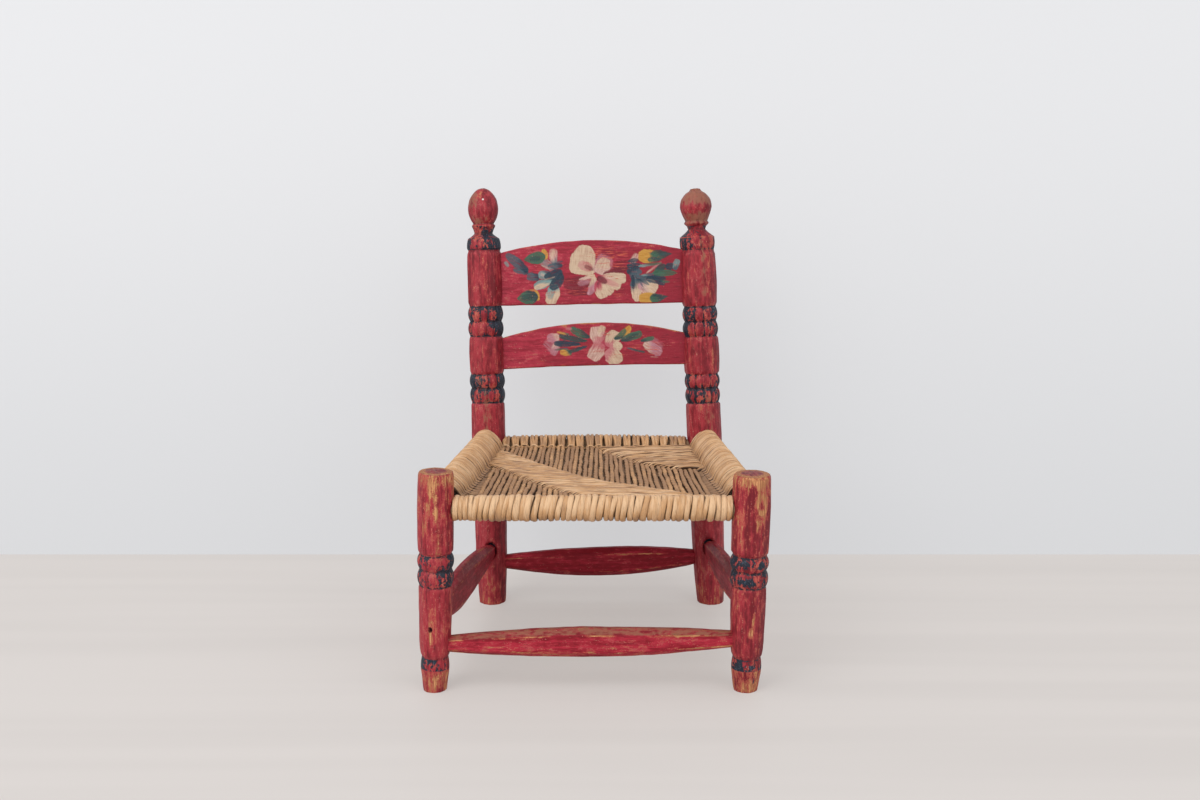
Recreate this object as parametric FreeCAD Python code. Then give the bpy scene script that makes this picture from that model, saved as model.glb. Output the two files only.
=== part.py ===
import FreeCAD, Part
import math
import os

# A small child's ladder-back chair: four turned posts, two shaped slats, four whittled
# stretchers and four seat rails, all tenoned together, with a seat woven from rush.
# Lengths are in millimetres. The front faces -Y, +X is the right-hand side seen from the
# front and +Z is up. The origin is the middle of the chair's box, at floor level.

# Where the four posts stand on the floor
front_foot_spread = 324.8
rear_foot_spread = 269.6
foot_depth = 276.0
rear_pair_shift = 12.0

# How far each post's top lies from its foot: sideways, and backwards for the rear pair
front_left_drift = 5.9
front_right_drift = 2.7
rear_left_drift = -8.7
rear_right_drift = -21.7
rear_lean = 55.0

# Heights: seat rails at their axes, and what the posts add above rails and slats
front_rail_height = 195.5
rear_rail_fall = 5.0
side_rail_front_step = 11.5
side_rail_rear_step = 12.5
front_left_leg_head = 38.5
front_right_leg_head = 36.0
rear_post_head = 77.0

# Radii of the posts at their fullest
front_left_leg_radius = 18.8
front_right_leg_radius = 19.9
rear_left_post_radius = 21.3
rear_right_post_radius = 21.2

# Seat rails, hidden inside the rush
rail_radius = 9.5
rail_tenon_radius = 6.5

# Stretchers: height of the axis at each post, depth of the belly and how far it hangs
front_stretcher_left_height = 50.0
front_stretcher_right_height = 55.5
front_stretcher_depth = 31.5
front_stretcher_belly_drop = 1.2
rear_stretcher_left_height = 49.0
rear_stretcher_right_height = 55.5
rear_stretcher_depth = 36.0
rear_stretcher_belly_drop = 2.8
left_stretcher_front_height = 80.5
left_stretcher_rear_height = 65.0
left_stretcher_depth = 45.0
left_stretcher_belly_drop = 0.6
right_stretcher_front_height = 91.5
right_stretcher_rear_height = 70.0
right_stretcher_depth = 40.0
right_stretcher_belly_drop = 0.6
stretcher_thickness = 17.0
stretcher_end_depth = 15.6
stretcher_end_thickness = 14.4
stretcher_tenon_radius = 6.8

# Slats: the lower one's lower edge above the rear rail, the gap from its crown to the top
# one, how much higher each lies at the right, depth at the ends and rise of the crown
lower_slat_above_rail = 97.5
slat_gap = 22.0
lower_slat_tilt = 7.0
lower_slat_end_depth = 35.0
lower_slat_crown = 19.0
lower_slat_hollow = 2.2
top_slat_tilt = 4.0
top_slat_end_depth = 61.0
top_slat_crown = 16.5
slat_thickness = 8.0
slat_edge_round = 1.4
slat_inset = 6.5

# Rush seat: strands wound round the rails, and a woven sheet above and below
front_wrap_radius = 14.2
rear_wrap_radius = 13.6
side_wrap_radius = 13.6
front_crease_reach = 2.6
rear_crease_reach = 1.6
side_crease_reach = 6.6
web_thickness = 5.0
web_front_rise = 7.5
web_rear_rise = 4.5
web_front_drop = 10.5
web_rear_drop = 10.5
web_sag = 3.0

# Fits: a tenon in its mortise, the wood left at a mortise's end, and soft to hard
tenon_fit = 0.15
tenon_end_play = 0.3
tenon_core_gap = 1.2
rush_clearance = 0.3
saddle_clearance = 0.2

# A nail hole, left open, in the front left leg
nail_hole_radius = 2.2
nail_hole_depth = 12.0
nail_hole_height = 70.0
nail_hole_turn_degrees = 15.0

# Every cutting tool runs past the face that it cuts by this much
overrun = 5.0

# Turned outlines, from the floor up. Each row is a kind of cut, a share of the post's
# length, a share of its full radius and, where the cut is round, the radius share midway.
front_leg_shares = (
    ("straight", 0.012, 0.668),
    ("straight", 0.065, 0.742),
    ("round", 0.150, 0.740, 0.790),
    ("straight", 0.160, 0.735),
    ("straight", 0.170, 0.760),
    ("straight", 0.190, 0.825),
    ("straight", 0.235, 0.870),
    ("straight", 0.420, 0.925),
    ("straight", 0.478, 0.925),
    ("straight", 0.490, 0.905),
    ("round", 0.562, 0.905, 0.985),
    ("round", 0.632, 0.905, 0.995),
    ("straight", 0.645, 0.980),
    ("round", 0.985, 0.950, 1.000),
    ("straight", 1.000, 0.880),
)
front_leg_sole_share = 0.640

rear_post_shares = (
    ("straight", 0.006, 0.765),
    ("straight", 0.036, 0.815),
    ("straight", 0.066, 0.855),
    ("straight", 0.118, 0.895),
    ("straight", 0.205, 0.930),
    ("straight", 0.330, 0.965),
    ("straight", 0.420, 0.975),
    ("straight", 0.484, 0.960),
    ("straight", 0.487, 0.935),
    ("straight", 0.490, 0.945),
    ("round", 0.524, 0.930, 0.985),
    ("round", 0.557, 0.930, 0.990),
    ("straight", 0.562, 0.975),
    ("round", 0.643, 0.975, 1.000),
    ("straight", 0.648, 0.930),
    ("round", 0.684, 0.930, 1.000),
    ("round", 0.721, 0.920, 0.985),
    ("straight", 0.728, 0.970),
    ("round", 0.846, 0.970, 1.000),
    ("straight", 0.852, 0.920),
)
rear_post_sole_share = 0.735

# The left post ends in a tall egg, the right one in a rounder ball with a small point
egg_finial_shares = (
    ("straight", 0.858, 0.965),
    ("round", 0.882, 0.890, 0.955),
    ("straight", 0.888, 0.670),
    ("straight", 0.894, 0.508),
    ("straight", 0.904, 0.580),
    ("straight", 0.911, 0.655),
    ("straight", 0.914, 0.645),
    ("straight", 0.917, 0.570),
    ("round", 0.953, 0.853, 0.765),
    ("round", 0.996, 0.325, 0.695),
    ("straight", 1.000, 0.180),
)
ball_finial_shares = (
    ("straight", 0.861, 0.960),
    ("round", 0.886, 0.970, 0.990),
    ("straight", 0.897, 0.630),
    ("straight", 0.904, 0.485),
    ("straight", 0.912, 0.550),
    ("straight", 0.919, 0.680),
    ("straight", 0.921, 0.665),
    ("straight", 0.923, 0.620),
    ("round", 0.960, 0.887, 0.800),
    ("round", 0.989, 0.480, 0.730),
    ("straight", 0.997, 0.226),
    ("straight", 1.000, 0.150),
)

# Whittled stretchers: flat sides, a bevel along each corner, fullest near the middle
stretcher_side_flat_share = 0.56
stretcher_top_flat_share = 0.34
front_belly_share = 0.50
rear_belly_share = 0.55
left_belly_share = 0.58
right_belly_share = 0.45
stretcher_station_shares = (0.0, 0.14, 0.32, 0.5, 0.68, 0.86, 1.0)

# Where the crown of each slat lies between the posts
top_slat_crown_share = 0.52
lower_slat_crown_share = 0.54


def vector(x, y, z):
    return FreeCAD.Vector(x, y, z)


level_up = vector(0, 0, 1)


# A post turned about its own axis, from a point on the floor to a point at its top

class Post:
    def __init__(self, foot_x, foot_y, drift_x, drift_y, height, radius, sole_share, rows):
        self.foot = vector(foot_x, foot_y, 0)
        self.top = vector(foot_x + drift_x, foot_y + drift_y, height)
        self.height = height
        self.radius = radius
        self.sole_share = sole_share
        self.rows = rows
        self.length = (self.top - self.foot).Length

    def at(self, height):
        return self.foot + (self.top - self.foot) * (height / self.height)

    def turned(self, growth):
        """The post's outline, grown outwards by a clearance and spun about its axis."""
        below = self.radius
        sole = self.sole_share * self.radius + growth
        here = vector(sole, 0, 0)
        edges = [
            Part.LineSegment(vector(0, 0, -below), vector(sole, 0, -below)).toShape(),
            Part.LineSegment(vector(sole, 0, -below), here).toShape(),
        ]
        for row in self.rows:
            there = vector(row[2] * self.radius + growth, 0, row[1] * self.length)
            if row[0] == "round":
                middle_height = (here.z + there.z) / 2
                middle = vector(row[3] * self.radius + growth, 0, middle_height)
                edges.append(Part.Arc(here, middle, there).toShape())
            else:
                edges.append(Part.LineSegment(here, there).toShape())
            here = there
        edges.append(Part.LineSegment(here, vector(0, 0, here.z)).toShape())
        edges.append(Part.LineSegment(vector(0, 0, here.z), vector(0, 0, -below)).toShape())
        outline = Part.Face(Part.Wire(edges))
        solid = outline.revolve(vector(0, 0, 0), level_up, 360)
        solid.Placement = FreeCAD.Placement(
            self.foot, FreeCAD.Rotation(level_up, self.top - self.foot))
        return solid

    def solid(self):
        """The post with its sole cut level with the floor."""
        width = 4 * self.radius
        corner = self.foot - vector(width / 2, width / 2, width)
        return self.turned(0).cut(Part.makeBox(width, width, width, corner))

    def clearing(self, clearance):
        """The room that anything fitted against the post leaves for it."""
        return self.turned(clearance)


# A straight member between two posts. Its own axes are along, inwards and up.

class Span:
    def __init__(self, start_post, start_height, end_post, end_height):
        self.start_post = start_post
        self.end_post = end_post
        self.start_height = start_height
        self.end_height = end_height
        self.start = start_post.at(start_height)
        self.end = end_post.at(end_height)
        self.length = (self.end - self.start).Length
        self.along = (self.end - self.start) / self.length
        inwards = level_up.cross(self.along)
        self.inwards = inwards / inwards.Length
        self.up = self.along.cross(self.inwards)

    def point(self, along, inwards, up):
        return self.start + self.along * along + self.inwards * inwards + self.up * up

    def rod(self, radius, from_start, from_end):
        """A round rod that stops these distances short of the two posts' axes."""
        run = self.length - from_start - from_end
        return Part.makeCylinder(radius, run, self.point(from_start, 0, 0), self.along)

    def mortises(self, radius, stop):
        """The two blind holes for round tenons, one tool for each post."""
        hole_radius = radius + tenon_fit
        bottom = stop - tenon_end_play
        start_reach = self.start_post.radius + overrun - bottom
        end_reach = self.end_post.radius + overrun - bottom
        start_tool = Part.makeCylinder(
            hole_radius, start_reach, self.point(bottom, 0, 0), self.along)
        end_tool = Part.makeCylinder(
            hole_radius, end_reach, self.point(self.length - bottom, 0, 0), -self.along)
        return start_tool, end_tool


# Heights that follow from the sizes above, both slats midway between the posts

rear_rail_height = front_rail_height - rear_rail_fall
side_rail_front_height = front_rail_height + side_rail_front_step
side_rail_rear_height = rear_rail_height + side_rail_rear_step
lower_slat_height = rear_rail_height + lower_slat_above_rail
lower_crown_height = lower_slat_height + lower_slat_end_depth + lower_slat_crown
top_slat_height = lower_crown_height + slat_gap
rear_post_height = top_slat_height + top_slat_end_depth + rear_post_head


# The four posts

front_left_leg = Post(
    -front_foot_spread / 2, 0, front_left_drift, 0,
    front_rail_height + front_left_leg_head, front_left_leg_radius,
    front_leg_sole_share, front_leg_shares)
front_right_leg = Post(
    front_foot_spread / 2, 0, front_right_drift, 0,
    front_rail_height + front_right_leg_head, front_right_leg_radius,
    front_leg_sole_share, front_leg_shares)
rear_right_post = Post(
    rear_pair_shift + rear_foot_spread / 2, foot_depth, rear_right_drift, rear_lean,
    rear_post_height, rear_right_post_radius,
    rear_post_sole_share, rear_post_shares + ball_finial_shares)
rear_left_post = Post(
    rear_pair_shift - rear_foot_spread / 2, foot_depth, rear_left_drift, rear_lean,
    rear_post_height, rear_left_post_radius,
    rear_post_sole_share, rear_post_shares + egg_finial_shares)

post_solids = {
    "front_left_leg": front_left_leg.solid(),
    "front_right_leg": front_right_leg.solid(),
    "rear_left_post": rear_left_post.solid(),
    "rear_right_post": rear_right_post.solid(),
}
post_names = {
    front_left_leg: "front_left_leg",
    front_right_leg: "front_right_leg",
    rear_left_post: "rear_left_post",
    rear_right_post: "rear_right_post",
}
pieces = {}


def cut_mortises(span, tools):
    for post, tool in zip((span.start_post, span.end_post), tools):
        name = post_names[post]
        post_solids[name] = post_solids[name].cut(tool)


# Seat rails: plain rods under the rush, with thinner tenons that stop short of each
# other inside the post

rail_tenon_stop = rail_tenon_radius + tenon_core_gap

front_rail = Span(front_left_leg, front_rail_height, front_right_leg, front_rail_height)
right_rail = Span(
    front_right_leg, side_rail_front_height, rear_right_post, side_rail_rear_height)
rear_rail = Span(rear_right_post, rear_rail_height, rear_left_post, rear_rail_height)
left_rail = Span(
    rear_left_post, side_rail_rear_height, front_left_leg, side_rail_front_height)


def seat_rail(span):
    body = span.rod(rail_radius, 0, 0)
    for post in (span.start_post, span.end_post):
        body = body.cut(post.clearing(saddle_clearance))
    return body.fuse(span.rod(rail_tenon_radius, rail_tenon_stop, rail_tenon_stop))


for side, span in (("front", front_rail), ("right", right_rail),
                   ("rear", rear_rail), ("left", left_rail)):
    pieces[side + "_seat_rail"] = seat_rail(span).removeSplitter()
    cut_mortises(span, span.mortises(rail_tenon_radius, rail_tenon_stop))


# Stretchers: lens-shaped sticks with bevelled corners, whittled to a round tenon

def lens_share(share, belly):
    """How full the stick is along its length, from nothing at its ends to one."""
    if share < belly:
        return 1 - ((belly - share) / belly) ** 2
    return 1 - ((share - belly) / (1 - belly)) ** 2


def stretcher(span, depth, belly_drop, belly_share):
    buried = stretcher_tenon_radius
    start = span.start_post.radius - buried
    run = span.length - start - (span.end_post.radius - buried)
    sections = []
    for share in stretcher_station_shares:
        fullness = lens_share(share, belly_share)
        half_depth = (stretcher_end_depth + (depth - stretcher_end_depth) * fullness) / 2
        spare_thickness = stretcher_thickness - stretcher_end_thickness
        half_thick = (stretcher_end_thickness + spare_thickness * fullness) / 2
        side_flat = half_depth * stretcher_side_flat_share
        top_flat = half_thick * stretcher_top_flat_share
        corners = (
            (half_thick, -side_flat), (half_thick, side_flat),
            (top_flat, half_depth), (-top_flat, half_depth),
            (-half_thick, side_flat), (-half_thick, -side_flat),
            (-top_flat, -half_depth), (top_flat, -half_depth))
        here, drop = start + run * share, belly_drop * fullness
        ring = [span.point(here, inwards, up - drop) for inwards, up in corners]
        sections.append(Part.makePolygon(ring + ring[:1]))
    body = Part.makeLoft(sections, True, False)
    for post in (span.start_post, span.end_post):
        body = body.cut(post.clearing(saddle_clearance))
    stop = stretcher_tenon_radius + tenon_core_gap
    return body.fuse(span.rod(stretcher_tenon_radius, stop, stop))


stretcher_rows = (
    ("front_stretcher", front_left_leg, front_stretcher_left_height,
     front_right_leg, front_stretcher_right_height,
     front_stretcher_depth, front_stretcher_belly_drop, front_belly_share),
    ("right_side_stretcher", front_right_leg, right_stretcher_front_height,
     rear_right_post, right_stretcher_rear_height,
     right_stretcher_depth, right_stretcher_belly_drop, right_belly_share),
    ("rear_stretcher", rear_right_post, rear_stretcher_right_height,
     rear_left_post, rear_stretcher_left_height,
     rear_stretcher_depth, rear_stretcher_belly_drop, rear_belly_share),
    ("left_side_stretcher", rear_left_post, left_stretcher_rear_height,
     front_left_leg, left_stretcher_front_height,
     left_stretcher_depth, left_stretcher_belly_drop, left_belly_share),
)
for name, start_post, start_height, end_post, end_height, *belly in stretcher_rows:
    span = Span(start_post, start_height, end_post, end_height)
    pieces[name] = stretcher(span, *belly)
    tenon_stop = stretcher_tenon_radius + tenon_core_gap
    cut_mortises(span, span.mortises(stretcher_tenon_radius, tenon_stop))


# Slats: thin boards in the plane of the two rear posts, housed in slots in the posts

up_the_back = vector(0, rear_lean, rear_post_height) / math.hypot(rear_lean, rear_post_height)
towards_front = vector(1, 0, 0).cross(up_the_back)


def slat_outline(height, tilt, end_depth, crown, hollow, crown_share, growth):
    """The slat's flat shape, midway through its thickness, grown by a clearance."""
    inset = vector(slat_inset - growth, 0, 0)
    low_left = rear_left_post.at(height - tilt / 2) + inset - up_the_back * growth
    low_right = rear_right_post.at(height + tilt / 2) - inset - up_the_back * growth
    rise = end_depth + 2 * growth
    high_left = low_left + up_the_back * rise
    high_right = low_right + up_the_back * rise
    low_middle = (low_left + low_right) / 2 + up_the_back * hollow
    crown_foot = high_left + (high_right - high_left) * crown_share
    crown_point = crown_foot + up_the_back * crown
    if hollow > 0:
        low_edge = Part.Arc(low_left, low_middle, low_right).toShape()
    else:
        low_edge = Part.LineSegment(low_left, low_right).toShape()
    return Part.Wire([
        low_edge,
        Part.LineSegment(low_right, high_right).toShape(),
        Part.Arc(high_right, crown_point, high_left).toShape(),
        Part.LineSegment(high_left, low_left).toShape(),
    ])


def board(outline, thickness):
    face = Part.Face(outline)
    face.translate(towards_front * (-thickness / 2))
    return face.extrude(towards_front * thickness)


def slat(height, tilt, end_depth, crown, hollow, crown_share):
    sizes = (height, tilt, end_depth, crown, hollow, crown_share)
    plain = board(slat_outline(*sizes, 0), slat_thickness)
    long_edges = [edge for edge in plain.Edges
                  if abs((edge.Vertexes[1].Point - edge.Vertexes[0].Point).x)
                  > rear_foot_spread / 2]
    slot = board(slat_outline(*sizes, tenon_fit), slat_thickness + 2 * tenon_fit)
    return plain.makeFillet(slat_edge_round, long_edges), slot


slat_rows = (
    ("top_slat", top_slat_height, top_slat_tilt, top_slat_end_depth,
     top_slat_crown, 0, top_slat_crown_share),
    ("lower_slat", lower_slat_height, lower_slat_tilt, lower_slat_end_depth,
     lower_slat_crown, lower_slat_hollow, lower_slat_crown_share),
)
for name, *sizes in slat_rows:
    pieces[name], slot = slat(*sizes)
    for post_name in ("rear_left_post", "rear_right_post"):
        post_solids[post_name] = post_solids[post_name].cut(slot)


# Rush round the rails: a round roll on the outside, whose strands run inwards above and
# below to a crease, where the woven sheets start. The levels are those of the sheets.

front_web_top = front_rail_height + web_front_rise
rear_web_top = rear_rail_height + web_rear_rise
front_web_bottom = front_rail_height - web_front_drop
rear_web_bottom = rear_rail_height - web_rear_drop

front_crease = front_wrap_radius + front_crease_reach
rear_crease = rear_wrap_radius + rear_crease_reach
side_crease = side_wrap_radius + side_crease_reach


def tangent_point(wrap_radius, reach, level, turn):
    """Where a strand from the crease meets the roll: above it or below it."""
    spread = math.acos(wrap_radius / math.hypot(reach, level))
    angle = math.atan2(level, reach) + turn * spread
    return wrap_radius * math.cos(angle), wrap_radius * math.sin(angle)


def wrap_section(span, along, wrap_radius, crease, top_level, bottom_level):
    above = tangent_point(wrap_radius, crease, top_level, 1)
    below = tangent_point(wrap_radius, crease, bottom_level, -1)
    top_crease = span.point(along, crease, top_level)
    bottom_crease = span.point(along, crease, bottom_level)
    leave = span.point(along, *above)
    outside = span.point(along, -wrap_radius, 0)
    arrive = span.point(along, *below)
    return Part.Wire([
        Part.LineSegment(top_crease, leave).toShape(),
        Part.Arc(leave, outside, arrive).toShape(),
        Part.LineSegment(arrive, bottom_crease).toShape(),
        Part.LineSegment(bottom_crease, top_crease).toShape(),
    ])


def rush_wrap(span, wrap_radius, crease, start_levels, end_levels):
    start_section = wrap_section(
        span, 0, wrap_radius, crease,
        start_levels[0] - span.start_height, start_levels[1] - span.start_height)
    end_section = wrap_section(
        span, span.length, wrap_radius, crease,
        end_levels[0] - span.end_height, end_levels[1] - span.end_height)
    roll = Part.makeLoft([start_section, end_section], True, True)
    roll = roll.cut(span.rod(rail_radius + rush_clearance, -overrun, -overrun))
    for post in (span.start_post, span.end_post):
        roll = roll.cut(post.clearing(rush_clearance))
    return roll


front_levels = (front_web_top, front_web_bottom)
rear_levels = (rear_web_top, rear_web_bottom)
front_wrap = rush_wrap(
    front_rail, front_wrap_radius, front_crease, front_levels, front_levels)
rear_wrap = rush_wrap(rear_rail, rear_wrap_radius, rear_crease, rear_levels, rear_levels)

# The side rolls stop against the flat creases of the front and rear rolls
front_crease_y = front_rail.start.y + front_crease
rear_crease_y = rear_rail.start.y - rear_crease
between_width = 2 * front_foot_spread
between_creases = Part.makeBox(
    between_width, rear_crease_y - front_crease_y, rear_post_height,
    vector(-between_width / 2, front_crease_y, 0))
right_wrap = rush_wrap(
    right_rail, side_wrap_radius, side_crease, front_levels, rear_levels)
left_wrap = rush_wrap(left_rail, side_wrap_radius, side_crease, rear_levels, front_levels)

pieces["seat_front_wrap"] = front_wrap
pieces["seat_rear_wrap"] = rear_wrap
pieces["seat_right_wrap"] = right_wrap.common(between_creases)
pieces["seat_left_wrap"] = left_wrap.common(between_creases)


# Woven sheets: two layers between the creases, both sagging a little in the middle

def crease_x(span, y):
    """Where a side roll's crease lies at a depth of the seat, in plan."""
    start = span.start + span.inwards * side_crease
    return start.x + span.along.x * (y - start.y) / span.along.y


seat_plan = Part.makePolygon([
    vector(crease_x(left_rail, front_crease_y), front_crease_y, 0),
    vector(crease_x(right_rail, front_crease_y), front_crease_y, 0),
    vector(crease_x(right_rail, rear_crease_y), rear_crease_y, 0),
    vector(crease_x(left_rail, rear_crease_y), rear_crease_y, 0),
    vector(crease_x(left_rail, front_crease_y), front_crease_y, 0),
])
seat_column = Part.Face(seat_plan).extrude(vector(0, 0, rear_post_height))


def woven_sheet(front_top, rear_top):
    middle_y = (front_crease_y + rear_crease_y) / 2
    middle_top = (front_top + rear_top) / 2 - web_sag
    drop = vector(0, 0, web_thickness)
    x = -front_foot_spread
    front_edge = vector(x, front_crease_y, front_top)
    middle = vector(x, middle_y, middle_top)
    rear_edge = vector(x, rear_crease_y, rear_top)
    profile = Part.Wire([
        Part.Arc(front_edge, middle, rear_edge).toShape(),
        Part.LineSegment(rear_edge, rear_edge - drop).toShape(),
        Part.Arc(rear_edge - drop, middle - drop, front_edge - drop).toShape(),
        Part.LineSegment(front_edge - drop, front_edge).toShape(),
    ])
    sheet = Part.Face(profile).extrude(vector(2 * front_foot_spread, 0, 0))
    return sheet.common(seat_column)


pieces["seat_top_web"] = woven_sheet(front_web_top, rear_web_top)
pieces["seat_bottom_web"] = woven_sheet(
    front_web_bottom + web_thickness, rear_web_bottom + web_thickness)


# The open nail hole, a little to the left of the leg's front

turn = math.radians(nail_hole_turn_degrees)
hole_outwards = vector(-math.sin(turn), -math.cos(turn), 0)
hole_mouth = front_left_leg.at(nail_hole_height) + hole_outwards * (
    front_left_leg_radius + overrun)
hole_length = nail_hole_depth + overrun
nail_hole = Part.makeCylinder(nail_hole_radius, hole_length, hole_mouth, -hole_outwards)
post_solids["front_left_leg"] = post_solids["front_left_leg"].cut(nail_hole)

pieces.update(post_solids)


# The origin goes to the middle of the chair's box, on the floor

whole_box = Part.makeCompound(list(pieces.values())).optimalBoundingBox()
to_middle = vector(
    -(whole_box.XMin + whole_box.XMax) / 2, -(whole_box.YMin + whole_box.YMax) / 2, 0)

os.makedirs("parts", exist_ok=True)
for name, shape in pieces.items():
    placed = shape.copy()
    placed.translate(to_middle)
    placed.exportStep("parts/" + name + ".step")
    box = placed.optimalBoundingBox()
    print("%-22s %2d solid  %9.1f mm3  x %7.1f %7.1f  y %7.1f %7.1f  z %6.1f %6.1f" % (
        name, len(placed.Solids), placed.Volume,
        box.XMin, box.XMax, box.YMin, box.YMax, box.ZMin, box.ZMax))
print("moved to the middle by", to_middle)
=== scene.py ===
import bpy
import math
import numpy as np
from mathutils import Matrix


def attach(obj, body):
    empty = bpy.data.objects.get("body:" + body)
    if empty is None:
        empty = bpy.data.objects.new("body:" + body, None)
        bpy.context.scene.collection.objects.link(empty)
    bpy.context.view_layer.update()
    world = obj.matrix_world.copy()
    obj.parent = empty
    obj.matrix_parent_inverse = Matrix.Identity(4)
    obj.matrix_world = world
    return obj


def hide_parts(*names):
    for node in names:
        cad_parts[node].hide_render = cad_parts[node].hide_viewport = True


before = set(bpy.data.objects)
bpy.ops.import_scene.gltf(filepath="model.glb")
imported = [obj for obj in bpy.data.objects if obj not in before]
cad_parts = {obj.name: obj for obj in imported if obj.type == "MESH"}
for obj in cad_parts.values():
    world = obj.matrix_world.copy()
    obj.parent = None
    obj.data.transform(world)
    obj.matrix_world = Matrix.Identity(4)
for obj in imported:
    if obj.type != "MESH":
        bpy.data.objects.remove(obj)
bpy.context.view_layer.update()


# The studio. A pale floor and wall stand round the chair, with large soft lamps in front.
# The camera looks a little down at the chair, from where the photograph was taken. The wall
# can be seen only from the front, so that it hides nothing from behind.

camera_place = (0.0069, -1.5638, 0.586)
camera_down_degrees = 11.23
lens_mm, sensor_mm = 42.6, 36.0
wall_y = 0.302
studio_reach, floor_reach = 6.0, 40.0
floor_colour, darker_board = (0.68, 0.635, 0.605), 0.965
wall_colour, wall_foot_tone, wall_head_tone = (0.770, 0.774, 0.787), 0.90, 1.03
wall_foot, wall_head = -0.1, 0.7
floor_glow, wall_glow = 0.57, 0.68  # the part of what the camera sees that is plain colour
sky_colour, sky_strength = (0.93, 0.96, 1.0), 0.77
lamp_aim = (0, 0, 0.25)
lamps = (("left_lamp", (-1.7, -1.9, 1.9), 2.0, 37), ("right_lamp", (1.9, -1.7, 1.7), 2.0, 15),
         ("high_lamp", (-0.2, -0.7, 2.6), 2.2, 12))


class Value:
    """A value worked out over a surface. Sums on it add Math nodes to its tree."""

    def __init__(self, tree, socket):
        self.tree = tree
        self.socket = socket

    def sum(self, operation, first, second):
        node = self.tree.nodes.new("ShaderNodeMath")
        node.operation = operation
        feed(self.tree, node.inputs[0], first)
        feed(self.tree, node.inputs[1], second)
        return Value(self.tree, node.outputs[0])

    def __add__(self, other):
        return self.sum("ADD", self, other)

    def __sub__(self, other):
        return self.sum("SUBTRACT", self, other)

    def __rsub__(self, other):
        return self.sum("SUBTRACT", other, self)

    def __mul__(self, other):
        return self.sum("MULTIPLY", self, other)

    def __truediv__(self, other):
        return self.sum("DIVIDE", self, other)

    __radd__ = __add__
    __rmul__ = __mul__


def feed(tree, socket, value):
    if isinstance(value, Value):
        tree.links.new(value.socket, socket)
    elif socket.type == "RGBA" and len(value) == 3:
        socket.default_value = (*value, 1)
    else:
        socket.default_value = value


class Recipe:
    """A finish or a weave, worked out node by node."""

    def __init__(self, tree):
        self.tree = tree
        tree.nodes.clear()

    def add(self, kind, settings, sockets, output=0):
        node = self.tree.nodes.new(kind)
        for name, setting in settings.items():
            setattr(node, name, setting)
        for name, value in sockets.items():
            feed(self.tree, node.inputs[name], value)
        return Value(self.tree, node.outputs[output]) if node.outputs else None

    def mark(self, name, output=2):
        """A mark kept on the mesh: 2 gives a number, 1 a place, 0 a colour, 3 its cover."""
        return self.add("ShaderNodeAttribute", {"attribute_name": name}, {}, output)

    def mix(self, share, colour, other):
        return self.add("ShaderNodeMix", {"data_type": "RGBA"},
                        {0: share, 6: colour, 7: other}, 2)

    def shaders(self, share, shader, other):
        return self.add("ShaderNodeMixShader", {}, {0: share, 1: shader, 2: other})

    def ramp(self, value, low, high):
        return self.add("ShaderNodeMapRange", {"interpolation_type": "SMOOTHSTEP"},
                        {0: value, 1: low, 2: high})

    def vector(self, operation, first, second=(0, 0, 0), output=0):
        return self.add("ShaderNodeVectorMath", {"operation": operation},
                        {0: first, 1: second}, output)

    def along_z(self, place):
        return self.vector("DOT_PRODUCT", place, (0, 0, 1), 1)

    def noise(self, place, stretch, knots_per_metre, detail):
        return self.add("ShaderNodeTexNoise", {}, {
            "Vector": self.vector("MULTIPLY", place, stretch), "Scale": knots_per_metre,
            "Detail": detail, "Roughness": 0.6})

    def surface(self, colour, roughness, height, depth, gloss=0.5):
        """The last step: bump from a height between 0 and 1 and the shader itself."""
        bump = self.add("ShaderNodeBump", {}, {
            "Strength": 1.0, "Distance": depth, "Height": height})
        shader = self.add("ShaderNodeBsdfPrincipled", {}, {
            "Base Color": colour, "Roughness": roughness, "Specular IOR Level": gloss,
            "Normal": bump})
        self.add("ShaderNodeOutputMaterial", {}, {"Surface": shader})


def new_finish(name):
    material = bpy.data.materials.new(name)
    material.use_nodes = True
    return material, Recipe(material.node_tree)


def placed(name, data):
    thing = bpy.data.objects.new(name, data)
    bpy.context.scene.collection.objects.link(thing)
    return thing


def stage_plane(name, corner, along, across, material):
    corner, along, across = np.array((corner, along, across), dtype=float)
    corners = np.array((corner, corner + along, corner + along + across, corner + across))
    mesh = bpy.data.meshes.new(name)
    mesh.from_pydata(corners.tolist(), [], [range(4)])
    mesh.materials.append(material)
    plane = placed(name, mesh)
    return plane


camera_data = bpy.data.cameras.new("photograph_camera")
camera_data.sensor_width = sensor_mm
camera_data.lens = lens_mm
camera = placed("photograph_camera", camera_data)
camera.location = camera_place
camera.rotation_euler = (math.radians(90 - camera_down_degrees), 0, 0)
bpy.context.scene.camera = camera
bpy.context.scene.view_settings.view_transform = "Standard"

floor_finish, recipe = new_finish("pale floor")
place = recipe.add("ShaderNodeTexCoord", {}, {}, 3)
boards = recipe.noise(place, (0.4, 8, 1), 1.5, 2)
board_colour = recipe.mix(recipe.ramp(boards, 0.35, 0.65), floor_colour,
                          tuple(darker_board * part for part in floor_colour))
matt = recipe.add("ShaderNodeBsdfPrincipled", {}, {
    "Base Color": board_colour, "Roughness": 0.55, "Specular IOR Level": 0.3})
glow = recipe.add("ShaderNodeEmission", {}, {"Color": board_colour, "Strength": 1.0})
seen = recipe.add("ShaderNodeLightPath", {}, {})
mixed = recipe.shaders(seen * floor_glow, matt, glow)
recipe.add("ShaderNodeOutputMaterial", {}, {"Surface": mixed})
stage_plane("floor", (-floor_reach, -floor_reach, 0), (2 * floor_reach, 0, 0),
            (0, 2 * floor_reach, 0), floor_finish)

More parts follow.
